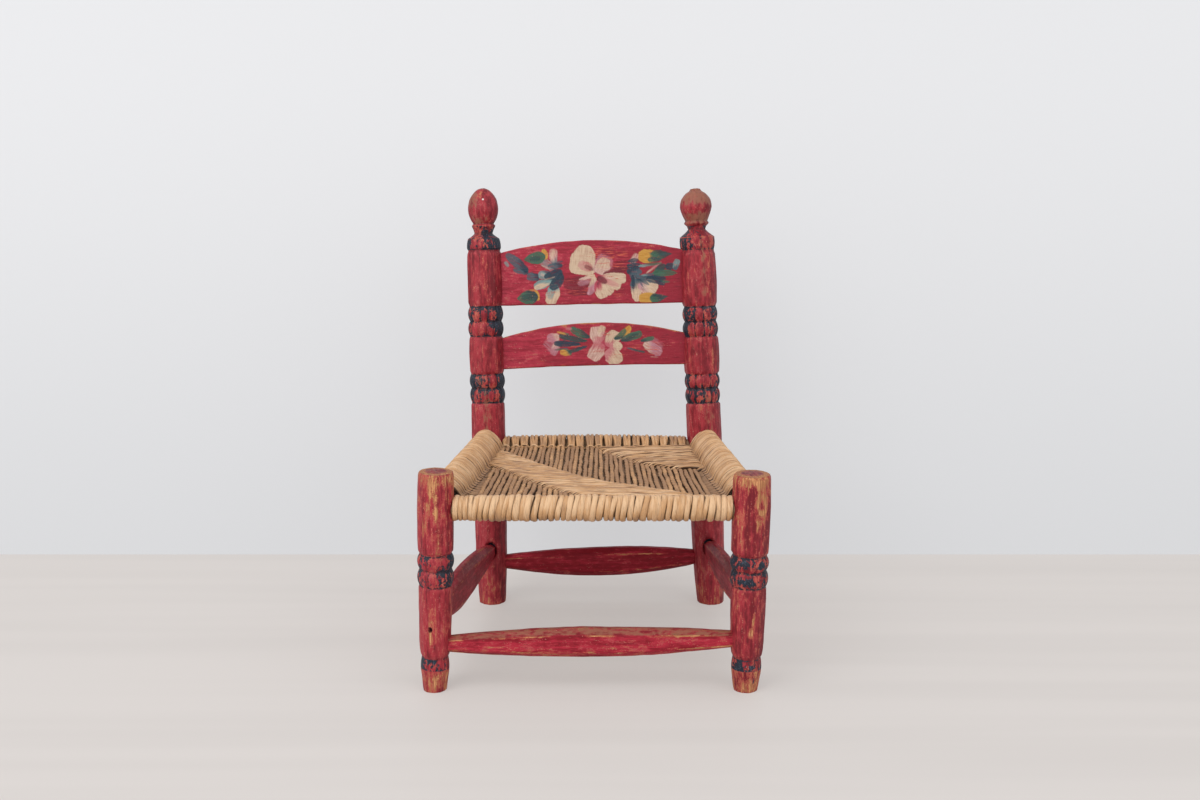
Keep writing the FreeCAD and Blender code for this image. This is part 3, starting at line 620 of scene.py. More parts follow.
# Strokes are in millimetres from the middle of the slat's lower edge: where the brush lands
# and lifts, half its width, where it is fullest, how blunt its ends are, the two colours, how
# much paint it leaves and, where it isn't straight, its bend.
top_strokes = (
    (-15, 35.5, -10.5, 71.5, 15.8, 0.3, 0.55, cream, cream, 1),
    (-2, 42, -20, 50, 6.5, 0.5, 0.7, rose, pink, 0.62),
    (0, 41, -13, 47, 3.6, 0.5, 0.8, maroon, maroon, 0.62),
    (5, 35, 16, 60, 12, 0.5, 0.6, violet, violet, 0.5),
    (6, 36, 15, 56, 8.6, 0.5, 0.6, white, cream, 0.82),
    (1, 27, -38, 24, 8.2, 0.55, 0.6, maroon, maroon, 0.76),
    (0, 14, -32, 13, 3.8, 0.5, 0.9, maroon, maroon, 0.66),
    (-1, 31, -21, 24, 5.2, 0.5, 0.8, pink, violet, 0.6),
    (1, 35, -19, 29.5, 2.3, 0.35, 0.9, cream, white, 0.95),
    (0, 34, -7, 11, 4.6, 0.5, 0.8, cream, violet, 0.92, 1.5),
    (10, 36, 42, 44, 4.4, 0.55, 0.9, maroon, maroon, 0.88),
    (20, 50, 46, 52, 1.9, 0.6, 0.9, maroon, maroon, 0.75),
    (4, 32, 38.5, 31.5, 6.6, 0.72, 0.8, rose, cream, 1),
    (5, 31, 32.5, 22.5, 7.2, 0.66, 0.75, pink, cream, 1),
    (5, 30, 22, 13, 6.4, 0.62, 0.75, pink, cream, 1),
    (4, 29, 12, 7.5, 8, 0.6, 0.75, rose, cream, 1),
    (8, 31, 31, 22, 4.8, 0.45, 0.8, rose, pink, 0.58),
    (14, 31.5, 37, 34, 1.7, 0.5, 0.9, white, cream, 0.9),
    (3, 33, 16, 26, 4.4, 0.45, 0.9, maroon, maroon, 0.82),
    (4, 28, 9, 16, 3, 0.45, 0.9, maroon, rose, 0.66),
    (-80, 39, -107, 61, 6, 0.5, 0.85, navy, slate, 0.92),
    (-79, 38, -99, 42, 3.8, 0.5, 0.9, navy, slate, 0.85),
    (-103, 45, -109, 52, 2.6, 0.5, 0.8, teal, teal, 0.72),
    (-66, 32, -82, 34, 5.6, 0.55, 0.65, navy, slate, 0.9),
    (-49, 45, -50, 68, 5.6, 0.62, 0.95, teal, white, 0.66),
    (-51, 54, -49, 66, 2.8, 0.5, 0.7, white, cream, 0.7),
    (-44, 44, -66, 51, 6, 0.5, 0.7, slate, teal, 0.55),
    (-50, 40, -65, 48, 1.4, 0.5, 0.9, teal, white, 0.72),
    (-46, 43, -59, 56, 0.9, 0.5, 0.9, white, white, 0.7),
    (-52, 37, -68, 35, 5.2, 0.6, 0.7, slate, teal, 0.92),
    (-57, 36, -66, 36, 2.8, 0.5, 0.7, teal, white, 0.66),
    (-38, 47, -57, 46, 3.6, 0.45, 0.9, navy, slate, 0.88),
    (-37, 52, -49, 50, 1.6, 0.5, 1, navy, slate, 0.8),
    (-38, 38, -61, 33, 6.3, 0.38, 0.85, navy, navy, 0.95),
    (-41, 33, -73, 20, 5.4, 0.72, 1.1, navy, teal, 0.97),
    (-48, 29, -73, 19, 3.4, 0.66, 0.95, teal, cream, 0.92),
    (-44, 34, -62, 29, 0.9, 0.6, 0.9, cream, cream, 0.85),
    (-47, 25, -54, -0.5, 8, 0.55, 0.8, teal, cream, 0.97, 0.5),
    (-51, 19, -54, 5, 4.4, 0.5, 0.7, teal, teal, 0.6),
    (-38, 36, -53, 18, 6.4, 0.5, 0.8, navy, navy, 0.95, 1),
    (-62, 67, -58, 54, 3.5, 0.5, 0.75, yellow, yellow, 0.92),
    (-59, 58, -86, 53.5, 7.4, 0.36, 1.7, green, green, 1),
    (-64, 56, -80, 54, 3.8, 0.5, 0.9, dark_green, dark_green, 0.66),
    (-71, 17, -68, 4, 3.2, 0.5, 0.75, yellow, yellow, 0.92),
    (-70, 17.5, -86, 15.5, 1.5, 0.4, 0.9, yellow, green, 0.8),
    (-68, 9.5, -94, 7, 8, 0.4, 1.5, dark_green, green, 1),
    (-72, 8, -89, 8, 5, 0.5, 0.9, dark_green, dark_green, 0.7),
    (44, 45, 52, 62, 4.6, 0.6, 0.85, slate, white, 0.66),
    (40, 52, 54, 54, 2.6, 0.5, 0.9, navy, navy, 0.85),
    (39, 46, 58, 47, 3.6, 0.45, 0.75, navy, navy, 0.92),
    (39, 40, 58, 39, 4.2, 0.45, 0.75, navy, slate, 0.95),
    (50, 47, 48, 30, 6.2, 0.5, 0.6, navy, slate, 0.95),
    (51, 30, 76, 17, 7.8, 0.64, 0.7, slate, cream, 0.97, 1),
    (49, 32, 52, 3, 6.8, 0.45, 0.85, slate, cream, 1),
    (54, 26, 65, 13, 5.5, 0.5, 0.8, violet, white, 0.78),
    (46.5, 36, 47.5, 18, 2.4, 0.45, 0.8, navy, navy, 0.95),
    (50, 35, 60, 20, 2.2, 0.4, 0.9, navy, slate, 0.74),
    (52, 34, 67, 23, 2.8, 0.42, 0.9, navy, slate, 0.84),
    (50, 34, 86, 25, 4.2, 0.62, 0.85, slate, navy, 0.95, 1),
    (62, 31, 87, 31, 2.8, 0.6, 0.9, navy, navy, 0.95, 2),
    (76, 28, 92, 27, 2, 0.5, 0.9, navy, green, 0.88),
    (56, 35, 74, 37, 1.8, 0.5, 0.9, teal, slate, 0.85),
    (62, 37, 82, 52, 2, 0.5, 0.9, white, pink, 0.72),
    (70, 38, 101, 38, 4.2, 0.42, 1.3, green, green, 0.95),
    (72, 38, 86, 48, 4.2, 0.6, 0.85, green, dark_green, 0.95),
    (53, 46, 82, 50, 2.3, 0.45, 0.9, teal, green, 0.85),
    (53, 58.5, 79, 58, 8, 0.4, 0.85, yellow, yellow, 1),
    (67, 59, 95, 61, 6, 0.3, 1.9, green, dark_green, 1),
    (64, 54, 82, 54, 3.2, 0.4, 1.1, green, dark_green, 0.88),
    (63, 60, 76, 60, 3.5, 0.4, 0.9, yellow, green, 0.64),
    (86, 45, 97, 47, 4.4, 0.5, 0.75, navy, navy, 0.9),
    (97, 41, 101, 55, 4, 0.55, 0.65, slate, teal, 0.86),
    (54, 7.5, 78, 7.5, 6.6, 0.4, 0.8, yellow, yellow, 1),
    (67, 6, 90, 10, 5.2, 0.3, 1.9, green, dark_green, 1),
    (69, 11, 77, 12, 1.8, 0.5, 0.9, dark_green, dark_green, 0.9),
    (64, 6, 74, 6, 3, 0.4, 0.9, yellow, green, 0.64),
)
lower_strokes = (
    (-44, 20, -60, 34, 9, 0.5, 0.7, violet, violet, 0.45),
    (-42, 36, -58, 35, 5.8, 0.5, 0.6, white, violet, 0.8),
    (-44, 30, -51, 14, 5.5, 0.5, 0.7, white, violet, 0.7),
    (-5, 36, -29, 48, 4.8, 0.62, 0.9, dark_green, green, 0.95, 1),
    (-26, 47, -36, 47, 2.6, 0.5, 0.8, pink, pink, 0.6),
    (-8, 32, -43, 39, 3.8, 0.66, 0.9, dark_green, dark_green, 0.95, 1),
    (-30, 40, -46, 43, 1.5, 0.6, 0.8, green, yellow, 0.85),
    (-16, 28, -49, 29, 3.6, 0.7, 0.85, navy, navy, 1),
    (-31, 23, -49, 21, 1.5, 0.55, 1, slate, green, 0.85),
    (-27, 18, -42, 18, 4.2, 0.5, 0.7, green, yellow, 0.9),
    (-8, 26, -32, 18, 2.6, 0.6, 0.9, navy, dark_green, 0.9),
    (4, 28, 2, 50, 8.2, 0.6, 0.6, pink, white, 0.82),
    (6, 36, 11, 51, 4.5, 0.6, 0.65, white, cream, 0.8),
    (10, 28, 12, 44, 4.5, 0.5, 0.7, rose, pink, 0.45),
    (18, 24, 27, 44, 9, 0.55, 0.6, pink, cream, 0.98),
    (24, 30, 33, 22, 5, 0.5, 0.7, cream, cream, 0.95),
    (16, 22, 30, 4, 10, 0.58, 0.55, pink, cream, 0.98),
    (9, 30, -4, 9, 9.6, 0.55, 0.6, pink, white, 0.84),
    (6, 26, 20, 26, 6, 0.5, 0.7, rose, rose, 0.55),
    (24, 34, 44, 50, 4.6, 0.6, 0.85, green, yellow, 0.95, -2),
    (24, 34, 38, 47, 3.6, 0.62, 0.9, dark_green, green, 0.9, -2),
    (32, 32, 58, 42, 4.8, 0.64, 0.85, dark_green, green, 0.95),
    (38, 34, 54, 41, 3.2, 0.6, 0.9, dark_green, dark_green, 0.7),
    (38, 24, 62, 18, 1.5, 0.6, 0.9, slate, dark_green, 0.9),
    (64, 34, 84, 22, 8, 0.5, 0.7, violet, violet, 0.35),
    (60, 30, 82, 16, 7, 0.5, 0.6, white, violet, 0.8),
    (67, 13, 79, 12, 1.3, 0.5, 0.8, white, white, 0.6),
    (56, 32, 73, 36, 3, 0.6, 0.75, dark_green, green, 0.95),
)


def brushed(across, up, strokes, seed):
    """Red, green and blue parts of the strokes' paint, and how well it covers. Thin paint
    fades out at its edges."""
    paint = np.zeros(across.shape + (4,))
    for number, (x, y, lift_x, lift_y, half, full, blunt, first, second, load,
                 *bend) in enumerate(strokes):
        run_x, run_y = lift_x - x, lift_y - y
        length = math.hypot(run_x, run_y)
        along = ((across - x) * run_x + (up - y) * run_y) / length ** 2
        share = along.clip(0.001, 0.999)
        aside = ((up - y) * run_x - (across - x) * run_y) / length
        aside = aside - 4 * sum(bend) * share * (1 - share)
        width = half * ((share / full) ** full
                        * ((1 - share) / (1 - full)) ** (1 - full)) ** blunt
        width = width * (1 + 0.12 * patchy(across / 4, up / 4, seed + number))
        width = width + 0.35 * patchy(across / 1.1, up / 1.1, seed + number + 70)
        bristle = patchy(aside / 0.55, share * 5, seed + 50 + number)
        faint = 0.5 + 5 * (0.95 - load)
        cover = eased(width - np.abs(aside), -0.3, faint) * eased(along * length, 0, faint)
        cover *= eased((1 - along) * length, 0, faint)
        cover *= np.clip(load + 0.22 * bristle - 0.15 * (share - 0.5), 0, 1)
        blend = eased(share + 0.20 * aside / half + 0.10 * bristle, 0.20, 0.56)[..., None]
        colour = np.array(first) * (1 - blend) + np.array(second) * blend
        colour = colour * (1 + 0.08 * bristle[..., None]) + 0.016 * bristle[..., None]
        keep = (paint[..., 3] * (1 - cover))[..., None]
        total = keep + cover[..., None]
        paint[..., :3] = (paint[..., :3] * keep + colour * cover[..., None]) / np.maximum(
            total, 1e-6)
        paint[..., 3] = total[..., 0]
    return paint.clip(0, 1)


def on_post(foot, top, height):
    foot, top = np.array(foot, dtype=float), np.array(top, dtype=float)
    return foot + (top - foot) * height / top[2]


def painted_slat(name, height, tilt, end_depth, crown, crown_share, hollow, strokes,
                 rubs, seed, finish):
    """Rubs are rows of a place and half sizes in millimetres, and how much paint went."""
    left = on_post(rear_left_foot, rear_left_top, height - tilt / 2)
    right = on_post(rear_right_foot, rear_right_top, height + tilt / 2)
    left[0] += slat_inset
    right[0] -= slat_inset
    columns = 480
    share = np.linspace(0, 1, columns)[:, None]
    arch = crown * (share * (1 - share)) / (crown_share * (1 - crown_share))
    x = left[0] + (right[0] - left[0]) * share
    sag = hollow * 4 * share * (1 - share)
    low = sag + 0.3 * mm * patchy(x / 0.017, 0 * x, seed)
    high = end_depth + arch + 0.3 * mm * patchy(x / 0.013, 0 * x, seed + 1)

    front_steps, back_steps, corner_steps = 110, 26, 4
    quarter = np.linspace(0, math.pi / 2, corner_steps + 1)[1:]
    flat = slat_thickness / 2 - slat_corner
    lift_share = np.concatenate([
        np.linspace(1, 0, front_steps), np.zeros(2 * corner_steps),
        np.linspace(0, 1, back_steps)[1:], np.ones(2 * corner_steps - 1)])
    corner_lift = np.concatenate([
        np.zeros(front_steps), -np.sin(quarter), -np.cos(quarter), np.zeros(back_steps - 1),
        np.sin(quarter), np.cos(quarter)[:-1]])
    forward = np.concatenate([
        np.full(front_steps, flat + slat_corner), flat + slat_corner * np.cos(quarter),
        -flat - slat_corner * np.sin(quarter), np.full(back_steps - 1, -flat - slat_corner),
        -flat - slat_corner * np.cos(quarter),
        flat + slat_corner * np.sin(quarter)[:-1]])
    up = low + slat_corner + lift_share * (high - low - 2 * slat_corner)
    up = up + slat_corner * corner_lift
    forward = forward + 0 * up
    x = x + 0 * up
    forward += np.sign(forward) * (0.22 * mm * patchy(x / 0.034, up / 0.012, seed + 2)
                                   + 0.06 * mm * patchy(x / 0.012, up / 0.0011, seed + 3))
    base = left + (right - left) * share
    points = base[:, None] + back_up * up[..., None] + back_front * forward[..., None]

    worn_edge = np.exp(-np.minimum(up - low, high - up) / (1.1 * mm))
    bare = 2.3 * worn_edge * (0.70 + 0.6 * patchy(x / 0.009, up * 0, seed + 4))
    front = np.arange(up.shape[1]) < front_steps
    across_mm = x / mm
    up_mm = (up + tilt * (share - 0.5)) / mm
    pigment = brushed(across_mm, up_mm, strokes, seed + 100) * front[:, None]
    rubbed = np.zeros_like(up)
    for rub_x, rub_y, half_width, half_height, strength in rubs:
        far = (((across_mm - rub_x) / half_width) ** 2
               + ((up_mm - rub_y) / half_height) ** 2)
        rubbed = np.maximum(rubbed, strength * np.exp(-far ** 2))
    local = np.stack([up, forward, x], axis=-1) + seed * grain_apart
    # The slat's red is made lighter towards its left end.
    marks = {"local": local, "bare": bare - 0.40 + 0.20 * rubbed, "pigment": pigment,
             "rubbed": rubbed, "faded": 0.8 * eased(-x, -0.09, 0.12) - 0.1}
    return skin(name, points, marks, finish)


slat_paint = worn_paint("worn red paint with flowers", (0.275, 0.013, 0.028),
                        (0.42, 0.026, 0.052), flowers=True)
slats = (
    ("top_slat", 0.364, 0.004, 0.061, 0.0165, 0.52, 0.0, top_strokes, (
        (16, 61, 24, 8, 0.9), (14, 47, 12, 8, 0.5), (-20, 16, 16, 5, 0.8), (32, 45, 9, 6, 0.85),
        (48, 45, 8, 6, 0.5), (-10, 44, 7, 7, 0.6), (-58, 44, 12, 9, 0.45), (28, 15, 9, 5, 0.6),
        (-56, 14, 5, 5, 0.55), (-22, 28, 18, 3, 0.5), (70, 54, 8, 4, 0.4), (93, 44, 5, 3, 0.5)), 5),
    ("lower_slat", 0.288, 0.007, 0.035, 0.019, 0.54, 0.0022, lower_strokes, (
        (72, 23, 12, 8, 0.8), (2, 20, 10, 9, 0.4), (52, 27, 12, 5, 0.4), (-24, 26, 16, 2, 0.7),
        (-50, 6, 22, 4, 0.35), (12, 38, 8, 7, 0.5), (28, 14, 9, 3, 0.6)), 11),
)
for name, *sizes in slats:
    slat = painted_slat("painted_" + name, *sizes, slat_paint)
    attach(slat, "root")
    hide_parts(name)


# The four stretchers. Each was whittled from a stick to flat sides with a bevel along every
# corner, fullest near its middle, and driven into the posts on round tenons. The knife left
# shallow hollows, and the corners are worn to the wood.

stretcher_end_depth, stretcher_end_thickness = 0.0156, 0.0144
stretcher_thickness = 0.0170
stretcher_tenon_radius, tenon_shown = 0.0055, (4 * mm, 0.1 * mm)
side_flat_share, top_flat_share = 0.62, 0.34
knife_hollow, knife_mark, stick_wander = 0.30 * mm, 0.15 * mm, 0.6 * mm
stretcher_paint = worn_paint("worn red paint on stretchers", (0.225, 0.009, 0.017),
                             (0.43, 0.024, 0.044), gloss=0.16)


def whittled_stretcher(name, start, start_radius, end, end_radius, depth, drop, belly, wear,
                       seed, finish):
    start, end = np.array(start), np.array(end)
    length = np.linalg.norm(end - start)
    along = (end - start) / length
    inwards = np.cross((0, 0, 1.0), along)
    inwards /= np.linalg.norm(inwards)
    up = np.cross(along, inwards)
    first = start_radius - stretcher_tenon_radius
    last = length - end_radius + stretcher_tenon_radius
    stations = np.linspace(first, last, 170)[:, None]
    share = (stations - first) / (last - first)
    slope = np.where(share < belly, (belly - share) / belly, (share - belly) / (1 - belly))
    fullness = 1 - slope ** 2
    half_depth = (stretcher_end_depth + (depth - stretcher_end_depth) * fullness) / 2
    half_thick = (stretcher_end_thickness
                  + (stretcher_thickness - stretcher_end_thickness) * fullness) / 2

    corners = np.array([(1, -side_flat_share), (1, side_flat_share), (top_flat_share, 1),
                        (-top_flat_share, 1), (-1, side_flat_share), (-1, -side_flat_share),
                        (-top_flat_share, -1), (top_flat_share, -1)])
    per_face = 9
    face = np.repeat(np.arange(8), per_face)
    part = np.tile(np.arange(per_face) / per_face, 8)[:, None]
    shape = corners[face] * (1 - part) + np.roll(corners, -1, axis=0)[face] * part
    for _ in range(2):
        shape = (np.roll(shape, 1, axis=0) + 2 * shape + np.roll(shape, -1, axis=0)) / 4
    edge_share = np.minimum(part[:, 0], 1 - part[:, 0])[None]
    knife = knife_hollow * patchy(face[None] * 3.0 + 0 * stations, stations / 0.026, seed)
    knife = knife + knife_mark * patchy(face[None] * 5.0 + part.T * 2, stations / 0.009,
                                        seed + 1)
    reach_in = shape[None, :, 0] * half_thick
    reach_up = shape[None, :, 1] * half_depth
    swell = 1 + knife / np.hypot(reach_in, reach_up)
    reach_in, reach_up = reach_in * swell, reach_up * swell
    wander = stick_wander * patchy(0 * stations, stations / 0.07, seed + 2)
    points = (start + along * stations[..., None] + inwards * (reach_in + wander)[..., None]
              + up * (reach_up - drop * fullness + wander)[..., None])
    bare = wear + np.exp(-(edge_share / 0.10) ** 2) * (0.85 + 0.9 * patchy(
        face[None] * 2.0, stations / 0.022, seed + 3))
    on_top, below = shape[None, :, 1] > 0.6, shape[None, :, 1] < -0.6
    bevels = 0.45 * below + (0.35 + wear) * on_top + 0 * stations
    soiled = (0.9 + 2 * wear) * on_top + 0 * stations
    local = np.stack([reach_in, reach_up, stations + 0 * reach_in], axis=-1)

    turns = np.linspace(0, 2 * math.pi, len(shape), endpoint=False)
    turns = turns + math.atan2(shape[0, 1] * half_depth[0, 0], shape[0, 0] * half_thick[0, 0])
    tenon = inwards * np.cos(turns)[:, None] + up * np.sin(turns)[:, None]
    tenon = start + tenon * stretcher_tenon_radius
    rings = np.concatenate([[tenon + along * (first - back) for back in tenon_shown], points,
                            [tenon + along * (last + back) for back in tenon_shown[::-1]]])
    # The side and rear stretchers are painted darker than the front one, partly as painted shade.
    marks = {"local": local + seed * grain_apart, "bare": bare + bevels, "soiled": soiled,
             "hollow": 0.5 * soiled, "faded": 0.6 + 1.6 * (wear + 0.15) + 0 * bare}
    for mark, values in marks.items():
        marks[mark] = np.concatenate([values[:1], values[:1], values, values[-1:], values[-1:]])
    return skin(name, rings, marks, finish)


stretchers = (
    ("front_stretcher", on_post(front_left_foot, front_left_top, 0.050), 0.0150,
     on_post(front_right_foot, front_right_top, 0.0555), 0.0158, 0.0315, 0.0012, 0.50, -0.10, 31),
    ("right_side_stretcher", on_post(front_right_foot, front_right_top, 0.0915), 0.0170,
     on_post(rear_right_foot, rear_right_top, 0.070), 0.0192, 0.0400, 0.0006, 0.45, -0.30, 42),
    ("rear_stretcher", on_post(rear_right_foot, rear_right_top, 0.0555), 0.0190,
     on_post(rear_left_foot, rear_left_top, 0.049), 0.0190, 0.0360, 0.0028, 0.45, -0.45, 53),
    ("left_side_stretcher", on_post(rear_left_foot, rear_left_top, 0.065), 0.0192,
     on_post(front_left_foot, front_left_top, 0.0805), 0.0160, 0.0450, 0.0006, 0.58, -0.30, 64),
)
for name, *sizes in stretchers:
    stretcher = whittled_stretcher("painted_" + name, *sizes, stretcher_paint)
    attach(stretcher, "root")
    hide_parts(name)


# The four seat rails: plain rods of unpainted wood inside the rush, with tenons in the
# posts. Little of them shows, so the solids stay and only get their wood, painted dark as shade
# between the rush.

shaded_rail_dark, shaded_rail_light = (0.20, 0.105, 0.050), (0.32, 0.185, 0.090)
shaded_rail_wood, recipe = new_finish("rail wood darkened as painted shade")
place = recipe.add("ShaderNodeTexCoord", {}, {}, 3)
grain = recipe.noise(place, (1, 1, 1), 160, 4)
fine_grain = recipe.noise(place, (0.2, 0.2, 1), 900, 3)
wood_colour = recipe.mix(recipe.ramp(grain * 0.6 + fine_grain * 0.4, 0.38, 0.62),
                         shaded_rail_dark, shaded_rail_light)
recipe.surface(wood_colour, 0.55 + grain * 0.2, grain * 0.5 + fine_grain * 0.5, 0.0002)
for name in ("front_seat_rail", "rear_seat_rail", "left_seat_rail", "right_seat_rail"):
    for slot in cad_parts[name].material_slots:
        slot.material = shaded_rail_wood


# The rush wound over the rails. Damp rush is twisted into strands of about 6 mm, wound over
# each rail side by side and drawn in hard to a crease, from which the sheets start. On the
# side rails it is finer and packed tighter.

front_rail = np.array((0, -0.16378, 0.1955))
rear_rail = np.array((0, 0.13309, 0.1905))
left_rail_front, left_rail_rear = (-0.1605, -0.1638, 0.207), (-0.1297, 0.1345, 0.203)
right_rail_front, right_rail_rear = (0.1615, -0.1638, 0.207), (0.1347, 0.1345, 0.203)
rail_radius = 0.0095
crease_reach, front_crease_reach, rear_crease_reach = 0.0203, 0.0168, 0.0152
front_crease, rear_crease = -0.147, 0.1179
front_loop_level, rear_loop_level = 0.1873, 0.1823
wrap_degrees = (62, 298)
tuck_reach, tuck_drop = 4 * mm, 1.2 * mm
pair_reach, pairs = 0.1075, 20
rear_width, knot_width = 6.7 * mm, 3.1 * mm
side_width, side_loops = 4.0 * mm, 85
brown_rush, light_rush = (0.36, 0.195, 0.098), (0.55, 0.300, 0.134)
pale_rush, dark_rush, painted_gap_shade = (0.69, 0.44, 0.245), (0.11, 0.052, 0.027), (0.050, 0.022, 0.011)


def rush_weave():
    """A tree that lays twisted strands along the lines of its mesh."""
    tree = bpy.data.node_groups.new("rush strands", "GeometryNodeTree")
    recipe = Recipe(tree)
    for name, kind in (("Lines", "Geometry"), ("Plies", "Int"), ("Lay Length", "Float"),
                       ("Ply Share", "Float"), ("Step", "Float"), ("Sides", "Int"),
                       ("Rush", "Material")):
        tree.interface.new_socket(name, in_out="INPUT", socket_type="NodeSocket" + kind)
    tree.interface.new_socket("Strands", in_out="OUTPUT", socket_type="NodeSocketGeometry")
    given = recipe.add("NodeGroupInput", {}, {})
    lines, plies, lay, ply_share, step, sides, rush = (
        Value(tree, given.socket.node.outputs[number]) for number in range(7))

    def named(name, kind):
        return recipe.add("GeometryNodeInputNamedAttribute", {"data_type": kind}, {0: name})

    def times(direction, amount):
        return recipe.add("ShaderNodeVectorMath", {"operation": "SCALE"},
                          {0: direction, 3: amount})

    def stored(geometry, name, kind, value):
        return recipe.add("GeometryNodeStoreNamedAttribute",
                          {"data_type": kind, "domain": "POINT"},
                          {0: geometry, 2: name, 3: value})

    width, position = named("width", "FLOAT"), recipe.add("GeometryNodeInputPosition", {}, {})
    curve = recipe.add("GeometryNodeMeshToCurve", {}, {0: lines})
    curve = recipe.add("GeometryNodeResampleCurve", {"mode": "LENGTH"}, {0: curve, 3: step})
    doubled = recipe.add("GeometryNodeDuplicateElements", {"domain": "SPLINE"},
                         {0: curve, 2: plies})
    ply = Value(tree, doubled.socket.node.outputs[1])
    run = recipe.add("GeometryNodeSplineParameter", {}, {}, 1)
    tangent = recipe.add("GeometryNodeInputTangent", {}, {})
    facing = named("facing", "FLOAT_VECTOR")
    side = recipe.vector("NORMALIZE", recipe.vector("CROSS_PRODUCT", tangent, facing))
    upright = recipe.vector("NORMALIZE", recipe.vector("CROSS_PRODUCT", side, tangent))
    start = recipe.add("FunctionNodeRandomValue", {"data_type": "FLOAT"},
                       {2: 0.0, 3: 1.0, 7: named("strand", "INT"), 8: 5}, 1)
    turn = (run / lay + start + ply / plies) * (2 * math.pi)
    cosine = recipe.add("ShaderNodeMath", {"operation": "COSINE"}, {0: turn})
    sine = recipe.add("ShaderNodeMath", {"operation": "SINE"}, {0: turn})
    away = width * (0.5 - ply_share)
    shift = recipe.vector("ADD", times(side, cosine * away), times(upright, sine * away))
    curve = recipe.add("GeometryNodeSetPosition", {}, {0: doubled, 3: shift})
    for name, kind, value in (
            ("middle", "FLOAT_VECTOR", position), ("upright", "FLOAT_VECTOR", upright),
            ("run", "FLOAT", run + start * 0.5 + ply * 0.13), ("lift", "FLOAT", sine * away)):
        curve = stored(curve, name, kind, value)
    circle = recipe.add("GeometryNodeCurvePrimitiveCircle", {}, {0: sides, 4: 1.0})
    circle = stored(circle, "round", "FLOAT_VECTOR", position)
    radius = width * ply_share
    mesh = recipe.add("GeometryNodeCurveToMesh", {}, {0: curve, 1: circle, 2: radius, 3: True})
    from_middle = recipe.vector("SUBTRACT", position, named("middle", "FLOAT_VECTOR"))
    upright = named("upright", "FLOAT_VECTOR")
    height = recipe.vector("DOT_PRODUCT", from_middle, upright, 1)
    mesh = stored(mesh, "crown", "FLOAT", (height + named("lift", "FLOAT")) / width)
    pressed = times(upright, height * (named("thin", "FLOAT") - 1))
    mesh = recipe.add("GeometryNodeSetPosition", {}, {0: mesh, 3: pressed})
    along = recipe.add("ShaderNodeCombineXYZ", {}, {2: named("run", "FLOAT")})
    fibre = recipe.vector("ADD", along, times(named("round", "FLOAT_VECTOR"), radius))
    mesh = stored(mesh, "fibre", "FLOAT_VECTOR", fibre)
    mesh = recipe.add("GeometryNodeSetShadeSmooth", {}, {0: mesh, 2: True})
    mesh = recipe.add("GeometryNodeRealizeInstances", {}, {0: mesh})
    mesh = recipe.add("GeometryNodeSetMaterial", {}, {0: mesh, 2: rush})
    recipe.add("NodeGroupOutput", {}, {0: mesh})
    return tree


rush_tree = rush_weave()


def rush(name, routes, plies, merged, lay_length, step, sides, finish):
    """One piece of rush. Each route has points, width, flatness, facings and a tone.

    Its leaves only touch where merged is 1, and blend into a band where it is more."""
    kinds = {"width": "FLOAT", "thin": "FLOAT", "facing": "FLOAT_VECTOR", "tone": "FLOAT",
             "strand": "INT"}
    points, edges, columns = [], [], [[] for mark in kinds]
    for number, (line, *traits) in enumerate(routes):
        count = len(line)
        edges += [(len(points) + i, len(points) + i + 1) for i in range(count - 1)]
        points += list(line)
        for column, mark, trait in zip(columns, kinds, (*traits, number)):
            column.append(np.broadcast_to(trait, (count, 3) if mark == "facing" else count))
    mesh = bpy.data.meshes.new(name)
    mesh.from_pydata(np.array(points).tolist(), edges, [])
    for column, (mark, kind) in zip(columns, kinds.items()):
        field = "vector" if mark == "facing" else "value"
        mesh.attributes.new(mark, kind, "POINT").data.foreach_set(
            field, np.concatenate(column).ravel())
    piece = placed(name, mesh)
    weave = piece.modifiers.new("strands", "NODES")
    weave.node_group = rush_tree
    ply_share = merged * 0.5 / (1 + 1 / math.sin(math.pi / plies))
    sizes = {"Plies": plies, "Lay Length": lay_length, "Ply Share": ply_share, "Step": step,
             "Sides": sides, "Rush": finish}
    for socket in rush_tree.interface.items_tree:
        if socket.name in sizes:
            weave[socket.identifier] = sizes[socket.name]
    evaluated = piece.evaluated_get(bpy.context.evaluated_depsgraph_get())
    woven = bpy.data.meshes.new_from_object(evaluated)
    piece.modifiers.clear()
    piece.data = woven
    bpy.data.meshes.remove(mesh)
    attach(piece, "root")
    return piece


